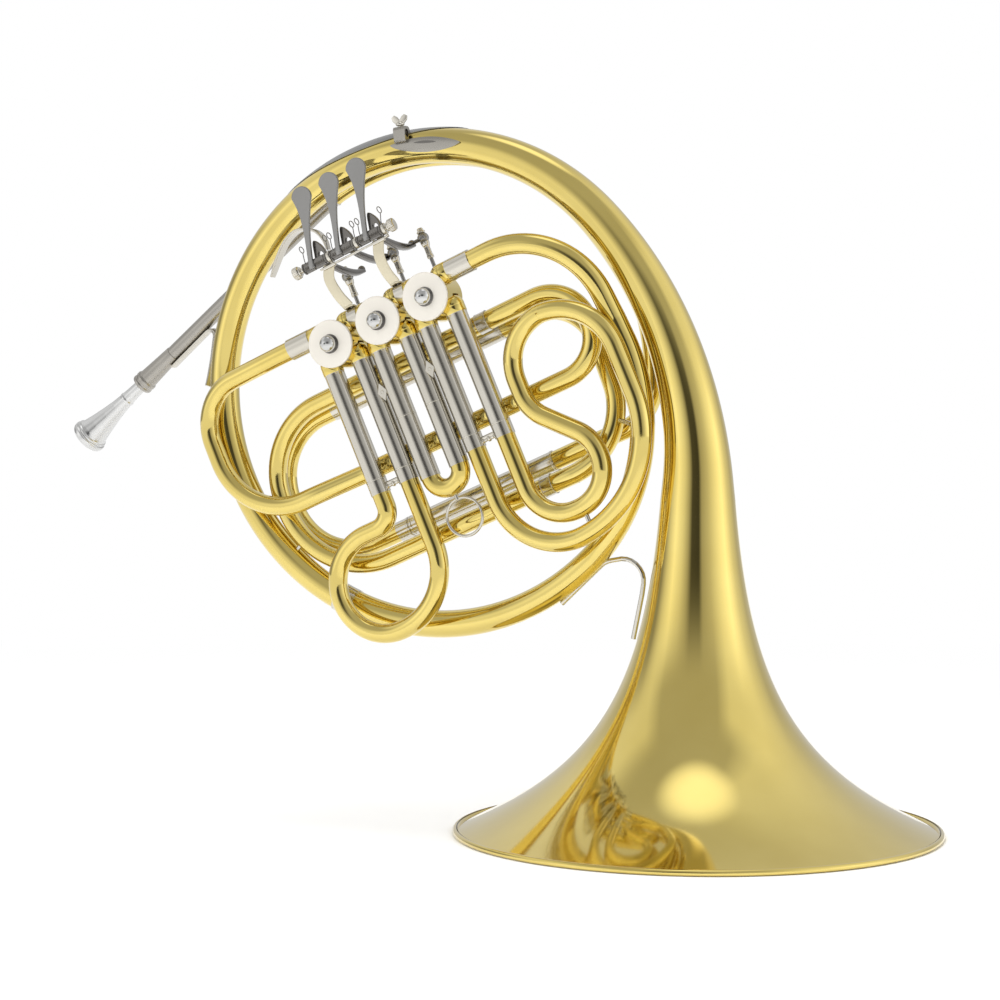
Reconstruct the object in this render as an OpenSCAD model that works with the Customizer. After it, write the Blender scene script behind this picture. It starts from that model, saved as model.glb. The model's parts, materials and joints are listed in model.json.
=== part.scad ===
// French horn with three rotary valves, standing on its bell.
// Origin: centre of the bell rim, on the plane it stands on.  X-Z is the plane of the wrap,
// the valve caps face -Y, the mouthpiece points to -X, +Z is up.
// The valves, slides and coil are laid out in a tilted frame: u runs along the valve row,
// v across it and upwards, and both start at the axis of valve 1.

/* [Bell] */
// Radius of the bell edge before it is rolled over its wire
bell_edge_r = 156.5; // [150:0.5:165]
// Radius that the throat tends to
bell_throat_r = 15.8; // [14:0.1:18]
// Length scale of the flare
flare_len = 334; // [320:1:350]
// Power of the flare
flare_pow = 5.9; // [5.7:0.05:6.1]
// Height of the joint between bell and bell tail
bell_h = 210; // [205:1:214]
// Thickness of the bell flare's sheet
bell_wall = 0.7; // [0.6:0.05:0.8]
// Radius of the rolled rim bead
bead_r = 2; // [1.9:0.05:2.2]

/* [Corpus ring] */
// Radius of the ring's centre line
ring_r = 157; // [155:0.5:159]
// Radius of the arc from the bell throat to the ring
tail_r = 250; // [248:1:252]
// Angle at which that arc meets the ring
tail_ang = 43; // [42:0.5:44]
// Height of the ring's centre
ring_z = 283; // [281:0.5:285]
// Length over which the tail tapers
taper_len = 270; // [250:5:290]
// Wall of the bell tail
tail_wall = 0.5; // [0.45:0.05:0.6]
// Wall of the drawn tubes
wall = 0.4; // [0.35:0.05:0.45]

/* [Valves] */
// Tilt of the valve row against the horizontal
tilt = 23.5; // [23:0.1:24]
// Distance between valve axes
pitch = 37; // [36.5:0.1:37.5]
// Outer radius of a valve casing and its cap
casing_r = 15.75; // [15.5:0.05:16]
// Radius of a rotor
rotor_r = 13.4; // [13.2:0.05:13.6]
// Distance of a port from the two valve centre planes
port = 11; // [10.8:0.1:11.2]
// Bore radius of the tubes
bore_r = 5.95; // [5.8:0.05:6]
// Outer radius of the slide tubes
slide_r = 6.35; // [6.3:0.01:6.36]
// Outer radius of the sleeves and ferrules
sleeve_r = 6.85; // [6.8:0.05:6.9]
// Radial running clearance
fit_gap = 0.05; // [0.03:0.01:0.1]

/* [Linkage] */
// Height of the lever hinge above the valve row, along v
hinge_v = 52; // [51:0.5:53]
// Length of a lever arm, hinge to ball
arm_len = 52; // [51:0.5:53]
// Distance of the ball below the hinge, along v
arm_drop = 4; // [3.5:0.5:4.5]
// Offset of a crank pin from the valve axis, along u and along v
pin_off = 6.5; // [6.4:0.1:6.6]
// Radius of the hinge rod
hinge_r = 1.5; // [1.4:0.05:1.6]

/* [Leadpipe and mouthpiece] */
// Angle of the leadpipe against the horizontal
lead_ang = 40; // [39.8:0.1:40.2]
// Depth of the leadpipe behind the ring
lead_y = 20; // [19.5:0.1:20.5]
// Outer radius of the mouthpiece rim
rim_r = 12.75; // [12.5:0.05:13]

/* [Hidden] */
$fn = 48;

brass = "goldenrod";
nickel = "lightgray";
silver = "whitesmoke";
steel = "dimgray";

// The tilted frame of the wrap
valve_x = -239.5;
valve_z = 310;
ring_x = (tail_r - ring_r) * cos(tail_ang) - tail_r;
tail_z = ring_z - (tail_r - ring_r) * sin(tail_ang);
tube_sides = 12;
arc_step = 15;

// Layers across the horn
port_y = -25;
front_y = -4;
back_y = 17;
loop_y = -17.5;
return_y = -11;
casing_front = -36.5;
casing_back = -14;
link_y = 14;
hinge_y = link_y - arm_len;

// Levels of the runs in the tilted frame
upper_v = -25;
return_v = -83;
lower_v = -140;
back_upper_v = -30;
back_lower_v = -124;

// Slides
sleeve_top = -16;
sleeve_end = [-93, -63, -93];
collar_end = [-102, -106, -102];
leg_top = -24;
end_gap = 0.3;
tuning_end = 95;

module wrap() {
    translate([valve_x, 0, valve_z]) rotate([0, -tilt, 0]) children();
}

// A point of the tilted frame, in the horn's frame
function world(p) = [valve_x + p[0] * cos(tilt) - p[2] * sin(tilt), p[1],
    valve_z + p[0] * sin(tilt) + p[2] * cos(tilt)];
// A point of the horn's frame, in the tilted frame
function tilted(p) = let (x = p[0] - valve_x, z = p[2] - valve_z)
    [x * cos(tilt) + z * sin(tilt), p[1], z * cos(tilt) - x * sin(tilt)];

function unit(v) = v / norm(v);
function arc(c, r, a0, a1, y0, y1, n) =
    [for (i = [0:n]) let (a = a0 + (a1 - a0) * i / n)
        [c[0] + r * cos(a), y0 + (y1 - y0) * i / n, c[1] + r * sin(a)]];

// One rounded corner b of radius r between the points a and c
function corner(a, b, c, r) =
    let (d1 = unit(a - b), d2 = unit(c - b), turn = 180 - acos(d1 * d2),
        m = b + unit(d1 + d2) * r / cos(turn / 2),
        s = b + d1 * r * tan(turn / 2) - m, e = b + d2 * r * tan(turn / 2) - m,
        n = max(2, ceil(turn / arc_step)))
    [for (i = [0:n]) m + (s * sin(turn * (n - i) / n) + e * sin(turn * i / n)) / sin(turn)];
function xyz(p) = [p[0], p[1], p[2]];
function corner_at(p, r) = [p[0], p[1], p[2], r];
// A route of straight runs and round bends: each corner is [x, y, z, radius]
function route(c) = [for (i = [0:len(c) - 1])
    each (len(c[i]) < 4 ? [xyz(c[i])] : corner(xyz(c[i - 1]), xyz(c[i]), xyz(c[i + 1]), c[i][3]))];

function tangents(p) = [for (i = [0:len(p) - 1])
    unit(p[min(i + 1, len(p) - 1)] - p[max(i - 1, 0)])];
function across(t, n) = unit(n - (n * t) * t);
function normals(t, n0) = [for (i = 0, n = across(t[0], n0); i < len(t);
    i = i + 1, n = i < len(t) ? across(t[i], n) : n) n];
function travel(p) = [for (i = 0, s = 0; i < len(p);
    i = i + 1, s = i < len(p) ? s + norm(p[i] - p[i - 1]) : s) s];

// A tube along the points p, with its outer radius and its wall at each point
module tube(p, r, w, n0 = [0, 1, 0]) {
    m = tube_sides;
    last = len(p) - 1;
    t = tangents(p);
    n = normals(t, n0);
    function shell(k) = [for (i = [0:last]) for (j = [0:m - 1])
        let (b = cross(t[i], n[i]), a = j * 360 / m)
        p[i] + (r[i] - k * w[i]) * (n[i] * cos(a) + b * sin(a))];
    inner = (last + 1) * m;
    function quad(a, b, c, d) = [[a, b, c], [a, c, d]];
    polyhedron(points = concat(shell(0), shell(1)), faces = concat(
        [for (i = [0:last - 1]) for (j = [0:m - 1]) let (k = (j + 1) % m)
            each quad(i * m + j, (i + 1) * m + j, (i + 1) * m + k, i * m + k)],
        [for (i = [0:last - 1]) for (j = [0:m - 1]) let (k = (j + 1) % m)
            each quad(inner + i * m + j, inner + i * m + k,
                inner + (i + 1) * m + k, inner + (i + 1) * m + j)],
        [for (j = [0:m - 1]) let (k = (j + 1) % m)
            each quad(j, k, inner + k, inner + j)],
        [for (j = [0:m - 1]) let (k = (j + 1) % m)
            each quad(last * m + k, last * m + j,
                inner + last * m + j, inner + last * m + k)]));
}
module plain_tube(p, r = slide_r, w = wall) {
    tube(p, [for (q = p) r], [for (q = p) w]);
}

// Cylinders along the three directions of a frame
module pipe(r_out, r_in, h) {
    difference() {
        cylinder(r = r_out, h = h);
        translate([0, 0, -1]) cylinder(r = r_in, h = h + 2);
    }
}
module along_u() { rotate([0, 90, 0]) children(); }
module along_y() { rotate([-90, 0, 0]) children(); }
module down_v() { rotate([180, 0, 0]) children(); }

// ---- Bell and corpus -------------------------------------------------------

function bell_r(z) = bell_throat_r + (bell_edge_r - bell_throat_r) * pow(1 + z / flare_len, -flare_pow);
bell_edge_z = 1.5;
bead_z = 1.7;
bead_pos = bell_r(bell_edge_z);
wire_r = 1.2;
flare_steps = 26;
function flare_z(i) = bell_edge_z + (bell_h - bell_edge_z) * pow(i / flare_steps, 1.7);

// The flare, rolled at its edge into a bead that is ground flat underneath
module bell_flare() {
    outer = [for (i = [0:flare_steps]) [bell_r(flare_z(i)), flare_z(i)]];
    slope = [for (i = [0:flare_steps]) let (z = flare_z(i))
        unit([2, bell_r(z - 1) - bell_r(z + 1)])];
    inner = [for (i = [flare_steps:-1:0]) outer[i] - bell_wall * [slope[i][0],
        i == flare_steps ? 0 : slope[i][1]]];
    color(brass) rotate_extrude($fn = 96) difference() {
        union() {
            polygon(concat(outer, inner));
            translate([bead_pos, bead_z]) circle(r = bead_r, $fn = 24);
        }
        translate([bead_pos, bead_z]) circle(r = wire_r, $fn = 24);
        translate([bead_pos - 2 * bead_r, -2 * bead_r]) square([4 * bead_r, 2 * bead_r]);
    }
}

module bell_rim_wire() {
    color(steel) rotate_extrude($fn = 96)
        translate([bead_pos, bead_z]) circle(r = wire_r - 0.05, $fn = 24);
}

ferrule_ang = 246;
ferrule_half = 2.4;
bell_slope_r = bell_r(bell_h);
ring_end_r = 8.3;
tail_path = concat([[0, 0, bell_h]],
    arc([ring_x + (ring_r - tail_r) * cos(tail_ang), tail_z], tail_r, 0, tail_ang, 0, 0, 11),
    arc([ring_x, ring_z], ring_r, tail_ang + 7, ferrule_ang - ferrule_half, 0, 0, 28));
// The bore narrows steadily from the bell to the ferrule
function tail_radius(s) = ring_end_r + (bell_slope_r - ring_end_r) * pow(1 + s / taper_len, -2);
tail_radii = [for (s = travel(tail_path)) tail_radius(s)];

module bell_tail() {
    color(brass) tube(tail_path, tail_radii, [for (q = tail_radii) tail_wall]);
}

joint_r = tail_radii[len(tail_radii) - 1];

module on_ring(a) {
    translate([ring_x, 0, ring_z]) rotate([0, -a, 0]) translate([ring_r, 0, 0]) children();
}

module bell_tail_ferrule() {
    color(nickel) translate([ring_x, 0, ring_z]) rotate([90, 0, 0])
        rotate([0, 0, ferrule_ang - ferrule_half]) rotate_extrude(angle = 2 * ferrule_half, $fn = 96)
        translate([ring_r, 0]) difference() {
            circle(r = joint_r + 0.6);
            circle(r = joint_r - tail_wall);
        }
}

// The lower branch: along the bottom of the ring, up the right side and into valve 3
branch_u = 178;
branch_r = 124.6;
branch_ang = -45;
branch_c = [ring_x + (ring_r - branch_r) * cos(branch_ang),
    ring_z + (ring_r - branch_r) * sin(branch_ang)];
outlet_u = 2 * pitch + 34;
branch_y = -10.5;
branch_top = tilted([branch_c[0] + branch_r * cos(tilt), branch_y,
    branch_c[1] + branch_r * sin(tilt)]);
branch_path = concat(
    arc([ring_x, ring_z], ring_r, ferrule_ang + ferrule_half, 360 + branch_ang, 0, 0, 8),
    arc(branch_c, branch_r, branch_ang + 7, tilt, 0, branch_y, 9),
    [for (q = route([branch_top, [branch_u, branch_y - 1, -62, 30], [branch_u - 2, -24, port, 58],
        [outlet_u + 8, port_y, port], [outlet_u, port_y, port]])) if (q != branch_top) world(q)]);
branch_len = travel(branch_path);
branch_radii = [for (s = branch_len)
    slide_r + (joint_r - slide_r) * pow(1 - s / branch_len[len(branch_len) - 1], 0.8)];

module lower_branch() {
    color(brass) tube(branch_path, branch_radii, [for (q = branch_radii) wall]);
}

module outlet_ferrule() {
    color(nickel) wrap() translate([2 * pitch + 17, port_y, port]) along_u()
        pipe(sleeve_r + 0.4, bore_r, outlet_u - 2 * pitch - 17);
}

// ---- Coil ------------------------------------------------------------------

inlet_u = -34;
coil_u = 88;
module inlet_ferrule() {
    color(nickel) wrap() translate([inlet_u, port_y, port]) along_u()
        pipe(sleeve_r + 0.4, bore_r, -17 - inlet_u);
}

// From valve 1 round the left side in front of the ring, back behind the slides,
// and round the small right bend into the upper run
inlet_path = route([[inlet_u, port_y, port], [-44, port_y, port], [-117, loop_y, port + 1, 33],
    [-117, loop_y, return_v, 49], [-60, loop_y, return_v, 60], [-22, return_y, return_v, 60],
    [160, return_y, return_v, 26], [160, front_y, upper_v, 30], [coil_u + 8, front_y, upper_v]]);
module inlet_loop() {
    color(brass) wrap() plain_tube(inlet_path);
}

// The front bow on the left side, with its upper and lower runs
coil_path = route([[coil_u, front_y, upper_v], [-90, front_y, upper_v, 50],
    [-90, front_y, lower_v, 60], [coil_u, front_y, lower_v]]);
module coil_bow() {
    color(brass) wrap() plain_tube(coil_path);
}

module coil_ferrules() {
    color(nickel) wrap() for (v = [upper_v, lower_v])
        translate([coil_u, front_y, v]) along_u() pipe(sleeve_r, bore_r, 8);
}

// The right bend that joins the lower front run to the upper tuning sleeve
coil_return_path = route([[coil_u + 8, front_y, lower_v], [108, front_y, lower_v, 90],
    [154, 0, lower_v, 45], [154, back_y - 1, back_upper_v, 38], [118, back_y, back_upper_v, 60],
    [tuning_end, back_y, back_upper_v]]);
module coil_return() {
    color(brass) wrap() plain_tube(coil_return_path);
}

tuning_start = [-30, -17];
tuning_v = [back_upper_v, back_lower_v];
module tuning_sleeves() {
    color(nickel) wrap() for (i = [0:1])
        translate([tuning_start[i], back_y, tuning_v[i]]) along_u()
            pipe(sleeve_r, slide_r + fit_gap, tuning_end - tuning_start[i]);
}

tuning_collar = 10;
tuning_leg = 84;
module tuning_legs() {
    color(nickel) wrap() for (i = [0:1]) translate([0, back_y, tuning_v[i]]) {
        translate([tuning_start[i] - end_gap - tuning_collar, 0, 0]) along_u()
            pipe(sleeve_r, bore_r, tuning_collar);
        translate([tuning_start[i] - end_gap - 1, 0, 0]) along_u()
            pipe(slide_r, bore_r, tuning_leg);
    }
}

tuning_u = -94;
module tuning_bow() {
    ends = [for (u = tuning_start) u - end_gap - tuning_collar];
    color(brass) wrap() plain_tube(route([[ends[0], back_y, back_upper_v],
        [tuning_u, back_y, back_upper_v, 44], [tuning_u, back_y, back_lower_v, 46],
        [ends[1], back_y, back_lower_v]]));
}

// ---- Leadpipe --------------------------------------------------------------

lead_dir = [cos(lead_ang), 0, sin(lead_ang)];
lead_ring = 152;
lead_touch = [ring_x - lead_ring * sin(lead_ang), lead_y, ring_z + lead_ring * cos(lead_ang)];
receiver_in = 179;
receiver_len = 34;
receiver_r = 6.9;
lead_start_r = 5.3;
lead_end_r = slide_r;
function on_lead(d) = lead_touch - d * lead_dir;
lead_inner = 147;
lead_turn = 108;
lead_c = [ring_x + (lead_ring - lead_inner) * cos(lead_turn),
    ring_z + (lead_ring - lead_inner) * sin(lead_turn)];
lead_side = [lead_c[0] + lead_inner, lead_y, lead_c[1]];
lead_low_z = 262;
lead_path = concat(
    [for (i = [0:3]) on_lead((receiver_in - receiver_len) * (1 - i / 4))],
    arc([ring_x, ring_z], lead_ring, 90 + lead_ang, lead_turn, lead_y, lead_y, 3),
    arc(lead_c, lead_inner, lead_turn - 10, 0, lead_y, lead_y, 10),
    [for (q = route([lead_side, [lead_side[0], lead_y - 1, lead_low_z, 33],
        corner_at(world([tuning_end + 22, back_y, back_lower_v]), 60),
        world([tuning_end, back_y, back_lower_v])])) if (q != lead_side) q]);
lead_len = travel(lead_path);
lead_radii = [for (s = lead_len) lead_start_r + (lead_end_r - lead_start_r)
    * min(1, s / lead_len[len(lead_len) - 1] / 0.8)];
module leadpipe() {
    color(nickel) tube(lead_path, lead_radii, [for (q = lead_radii) wall]);
}

// Frame with +Z along the leadpipe, away from the mouthpiece, at the receiver's mouth
module at_receiver() {
    translate(on_lead(receiver_in)) rotate([0, 90 - lead_ang, 0]) children();
}
taper_in = 4.25;
taper_out = 3.65;
seat_len = 25;
module receiver() {
    color(nickel) at_receiver() difference() {
        union() {
            cylinder(r = receiver_r, h = receiver_len);
            cylinder(r = receiver_r + 1.2, h = 9);
        }
        translate([0, 0, -0.01]) cylinder(r1 = taper_in, r2 = taper_out, h = seat_len + 0.01);
        cylinder(r = taper_out - 0.6, h = receiver_len + 1);
    }
}

shank_out = 59;
module mouthpiece() {
    color(silver) at_receiver() rotate_extrude($fn = 64) difference() {
        polygon([[0, seat_len - 4], [taper_out - fit_gap + (taper_in - taper_out) * 4 / seat_len,
            seat_len - 4], [taper_in - fit_gap, 0], [4.7, -12], [5.8, -24], [7.4, -34],
            [9.2, -43], [10.8, -51], [rim_r - 0.7, -53.5], [rim_r, -56], [rim_r - 1, -58.3],
            [rim_r - 2.4, -shank_out], [0, -shank_out]]);
        polygon([[0, seat_len + 1], [3.1, seat_len + 1], [2.4, -16], [2.1, -33], [3.2, -38],
            [6.8, -50], [8.4, -shank_out + 3], [9.2, -shank_out - 1], [0, -shank_out - 1]]);
    }
}

// A strap soldered under the leadpipe that turns down beside the ring and meets it
strap_r = 1.7;
function under_lead(d) = on_lead(d) + (lead_start_r + strap_r) * [sin(lead_ang), 0, -cos(lead_ang)];
brace_x = ring_x - ring_r - 15;
brace_top = under_lead((under_lead(0)[0] - brace_x) / cos(lead_ang));
receiver_brace_path = route([under_lead(receiver_in - receiver_len - 6),
    [brace_x, lead_y - 2, brace_top[2], 6], [brace_x + 1, lead_y / 2, ring_z + 20, 40],
    [brace_x + 2, 2, ring_z]]);
module receiver_brace() {
    color(nickel) plain_tube(receiver_brace_path, strap_r, 1);
}

// ---- Valves ----------------------------------------------------------------

module at_valve(i) { wrap() translate([(i - 1) * pitch, 0, 0]) children(); }

seat_r = rotor_r + fit_gap;
plate_t = 2;
stub = 5;
spindle_r = 3;
floor_y = casing_back - 4;
bore_in = 7;
// One port: a short stub on the casing, bored into the rotor's seat.
// The two upper ports lead along the valve row, the two lower ones down to the slides.
module port_solid(su, sv, len) {
    translate([su * port, port_y, sv * port])
        rotate(sv > 0 ? [0, su * 90, 0] : [180, 0, 0]) cylinder(r = sleeve_r, h = len);
}
module port_bore(su, sv, len) {
    start = sv > 0 ? [su * (port - bore_in), port_y, port] : [su * port, port_y, bore_in - port];
    translate(start) rotate(sv > 0 ? [0, su * 90, 0] : [180, 0, 0])
        cylinder(r = bore_r, h = bore_in + len + 1);
}
module casing(i) {
    up = stub + 1 - (i == 1 ? 0 : 2);
    up_out = stub + 1 - (i == 3 ? 0 : 2);
    color(brass) at_valve(i) difference() {
        union() {
            translate([0, casing_front, 0]) along_y()
                cylinder(r = casing_r, h = casing_back - casing_front, $fn = 96);
            port_solid(-1, 1, up);
            port_solid(1, 1, up_out);
            port_solid(-1, -1, stub);
            port_solid(1, -1, stub);
        }
        translate([0, casing_front - 1, 0]) along_y()
            cylinder(r = seat_r, h = floor_y - casing_front + 1, $fn = 96);
        translate([0, floor_y - 1, 0]) along_y()
            cylinder(r = spindle_r + fit_gap, h = 8, $fn = 48);
        port_bore(-1, 1, up);
        port_bore(1, 1, up_out);
        port_bore(-1, -1, stub);
        port_bore(1, -1, stub);
    }
}

// The screwed cap with its flat face and turned centre knob
module cap(i) {
    color(silver) at_valve(i) translate([0, casing_front, 0]) rotate([90, 0, 0]) {
        cylinder(r = casing_r, h = 2.2, $fn = 96);
        translate([0, 0, 2.2]) cylinder(r = 3.2, h = 1.2);
        translate([0, 0, 3.4]) cylinder(r = 5.2, h = 1.6);
        translate([0, 0, 5]) difference() {
            sphere(r = 5.2);
            translate([0, 0, -5.3]) cube(10.6, center = true);
        }
    }
}

rotor_front = -34;
rotor_back = floor_y - 0.1;
module bearing_plates() {
    color(nickel) for (i = [1:3]) at_valve(i) translate([0, casing_front, 0]) along_y()
        pipe(rotor_r - 0.1, spindle_r + fit_gap, plate_t);
}

// A rotor: two curved passages, each joining two neighbouring ports
passage_r = 5.2;
module rotor(i) {
    color(brass) at_valve(i) {
        difference() {
            translate([0, rotor_front, 0]) along_y()
                cylinder(r = rotor_r, h = rotor_back - rotor_front, $fn = 96);
            for (s = [-1, 1]) translate([0, port_y, s * rotor_r * sqrt(2)]) rotate([90, 0, 0])
                rotate_extrude($fn = 64) translate([rotor_r, 0]) circle(r = passage_r, $fn = 32);
        }
        translate([0, casing_front + 0.1, 0]) along_y()
            cylinder(r = spindle_r, h = rotor_front - casing_front - 0.1);
        translate([0, rotor_back, 0]) along_y()
            cylinder(r = spindle_r, h = link_y - 8 - rotor_back - 0.5);
    }
}

// Valves 1 and 2 are cranked to the right, valve 3 to the left
hand = [1, 1, -1];
arm_back = link_y - 8;
arm_t = 4;
stop_y = casing_back + 3;
stop_reach = 9;
stop_t = 3.5;
module stop_arm(i) {
    reach = pin_off * sqrt(2);
    color(nickel) at_valve(i) rotate([0, -45 * hand[i - 1], 0]) scale_hand(i) {
        translate([0, stop_y, 0]) along_y() pipe(5, spindle_r, arm_back - stop_y);
        difference() {
            union() {
                translate([0, arm_back - arm_t, -2.5]) cube([reach, arm_t, 5]);
                translate([-stop_reach, stop_y, -2]) cube([stop_reach, stop_t, 4]);
            }
            translate([0, stop_y - 1, 0]) along_y() cylinder(r = 4.5, h = arm_back - stop_y + 2);
        }
        translate([reach, arm_back - arm_t, 0]) along_y() cylinder(r = 3, h = arm_t);
        translate([reach, arm_back - 0.5, 0]) along_y() cylinder(r = 1.6, h = 3.2);
    }
}
module scale_hand(i) { mirror([hand[i - 1] < 0 ? 1 : 0, 0, 0]) children(); }

// Behind each casing, a plate that carries the two bumpers
bumper_at = 8;
stop_plate_t = 2;
bumper_swing = 31;
module stop_plates() {
    color(nickel) for (i = [1:3]) at_valve(i) difference() {
        translate([0, casing_back, 0]) along_y() cylinder(r = 12, h = stop_plate_t, $fn = 64);
        translate([0, casing_back - 1, 0]) along_y() cylinder(r = 4.4, h = 6);
    }
}
module stop_bumpers() {
    color(steel) for (i = [1:3]) for (a = [135 - bumper_swing, 225 + bumper_swing])
        at_valve(i) scale_hand(i) rotate([0, -a, 0])
            translate([bumper_at, casing_back + stop_plate_t, 0]) along_y()
                cylinder(r = 1.8, h = 4.5);
}

module link_ferrules() {
    link_start = port + stub - 1;
    color(nickel) for (i = [1:2]) at_valve(i) translate([link_start, port_y, port]) along_u()
        pipe(sleeve_r + 0.4, bore_r, pitch - 2 * link_start);
}

// ---- Valve slides ----------------------------------------------------------

module both_legs(i) {
    at_valve(i) for (s = [-1, 1]) translate([s * port, port_y, 0]) children();
}
module slide_sleeves(i) {
    color(nickel) both_legs(i) translate([0, 0, sleeve_top]) down_v()
        pipe(sleeve_r, slide_r + fit_gap, sleeve_top - sleeve_end[i - 1]);
}
module slide_legs(i) {
    top = sleeve_end[i - 1] - end_gap;
    bar_v = top - 4;
    color(nickel) {
        both_legs(i) {
            translate([0, 0, leg_top]) down_v() pipe(slide_r, bore_r, leg_top - top + 1);
            translate([0, 0, top]) down_v() pipe(sleeve_r, bore_r, top - collar_end[i - 1]);
        }
        if (i != 2) at_valve(i) translate([-port + sleeve_r - 0.2, port_y, bar_v]) along_u()
            cylinder(r = 1.4, h = 2 * (port - sleeve_r) + 0.4, $fn = 24);
    }
}

crook_1_path = route([[-port, port_y, collar_end[0]], [-port, port_y, -122, 12],
    [-66, port_y, -122, 34], [-66, port_y, -189, 32.9], [port, port_y, -189, 42],
    [port, port_y, collar_end[0]]]);
crook_2_path = route([[-port, port_y, collar_end[1]], [-port, port_y, collar_end[1] - port, port - 0.1],
    [port, port_y, collar_end[1] - port, port - 0.1], [port, port_y, collar_end[1]]]);
crook_3_path = route([[-port, port_y, collar_end[2]], [-port, port_y, -181, 44],
    [101.5, port_y, -181, 70], [101.5, port_y, -40, 40], [32, port_y, -40, 33],
    [32, port_y, -93, 28], [65, port_y, -126, 26], [65, port_y, -164, 26],
    [port, port_y, -164, 26], [port, port_y, collar_end[2]]]);
crook_paths = [crook_1_path, crook_2_path, crook_3_path];
module crook(i) {
    color(brass) at_valve(i) plain_tube(crook_paths[i - 1]);
}

// A short stay between the two loops of crook 3
module crook_3_stay() {
    color(nickel) at_valve(3) translate([42, port_y, -175.5]) cylinder(r = 1.5, h = 6);
}

ring_hang = 12.5;
module pull_ring() {
    color(nickel) at_valve(2) translate([1, port_y, collar_end[1] - port - slide_r - 1]) {
        translate([0, 0, -ring_hang - 1.5]) rotate([90, 0, 0]) rotate_extrude($fn = 64)
            translate([ring_hang, 0]) circle(r = 1, $fn = 16);
        translate([0, 0, -2]) cylinder(r = 1.6, h = 4, $fn = 24);
    }
}

// ---- Levers ----------------------------------------------------------------

lever_u = [2, 23.5, 45];
barrel_len = 19;
barrel_r = 3.6;
arm_u = [18, 37.5, 58.5];
ball_u = [pin_off, pitch + pin_off, 2 * pitch - pin_off];
ball_r = 2.6;
socket_r = 3.9;
touch_lean = 11.3;
touch_len = 43;
touch_y = -3.4;
arm_slope = atan(arm_drop / arm_len);
module at_hinge() { wrap() translate([0, hinge_y, hinge_v]) children(); }

module hinge_rod() {
    color(nickel) at_hinge() {
        translate([-4, 0, 0]) along_u() cylinder(r = hinge_r, h = 73);
        for (u = [-6, 67.5]) translate([u, 0, 0]) along_u() cylinder(r = 4.2, h = 5.5);
        translate([43.2, 0, 0]) along_u() cylinder(r = 3.2, h = 1.1);
    }
}

module lever(i) {
    u0 = lever_u[i - 1];
    root = u0 + 7.5;
    side = ball_u[i - 1] < arm_u[i - 1] ? -1 : 1;
    reach = abs(ball_u[i - 1] - arm_u[i - 1]);
    color(steel) at_hinge() difference() {
        union() {
            translate([u0, 0, 0]) along_u() cylinder(r = barrel_r, h = barrel_len);
            // touchpiece, a spatula that leans along the valve row
            translate([root, touch_y + 0.9, 0]) rotate([90, 0, 0]) linear_extrude(height = 1.8)
                polygon([[-2.6, -1], [2.6, -1], [touch_lean + 6.8, touch_len - 5],
                    [touch_lean - 7.1, touch_len + 3]]);
            translate([root + touch_lean, touch_y + 0.9, touch_len]) rotate([90, 0, 0])
                cylinder(r = 7.3, h = 1.8);
            // arm to the rear, with the ball on its side
            rotate([-arm_slope, 0, 0]) translate([arm_u[i - 1] - 2, 1.5, -1.4])
                cube([4, arm_len, 2.8]);
            translate([arm_u[i - 1], arm_len, -arm_drop]) rotate([0, side * 90, 0])
                cylinder(r = 1.3, h = reach, $fn = 24);
            translate([ball_u[i - 1], arm_len, -arm_drop]) sphere(r = ball_r, $fn = 32);
        }
        translate([u0 - 1, 0, 0]) along_u() cylinder(r = hinge_r + fit_gap, h = barrel_len + 2);
    }
}

rod_drop = hinge_v - arm_drop - pin_off;
module link_rod(i) {
    side = ball_u[i - 1] < arm_u[i - 1] ? 1 : -1;
    color(nickel) at_hinge() translate([ball_u[i - 1], arm_len, -arm_drop]) {
        difference() {
            sphere(r = socket_r, $fn = 32);
            sphere(r = ball_r + fit_gap, $fn = 32);
            rotate([0, side * 90, 0]) cylinder(r = 2, h = socket_r + 1, $fn = 24);
        }
        translate([0, 0, -rod_drop + socket_r - 0.6]) cylinder(r = 1.3, h = rod_drop - 2 * socket_r + 1.2);
        translate([0, 0, -rod_drop + 9]) cylinder(r = 2, h = 8);
        translate([0, 0, -socket_r - 8]) cylinder(r = 2, h = 8.4);
        translate([0, 0, -rod_drop]) sphere(r = socket_r, $fn = 32);
    }
}

// Two posts between the lever barrels carry the hinge rod, each on an arched strap that
// stands on the ferrule between two valves
saddle_w = 9;
saddle_t = 1.2;
saddle_y = [-42.5, -25];
post_u = [21.7, 64.7];
post_t = 1.1;
post_v = [44.5, 55.5];
strap_bulge = 6;
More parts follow.
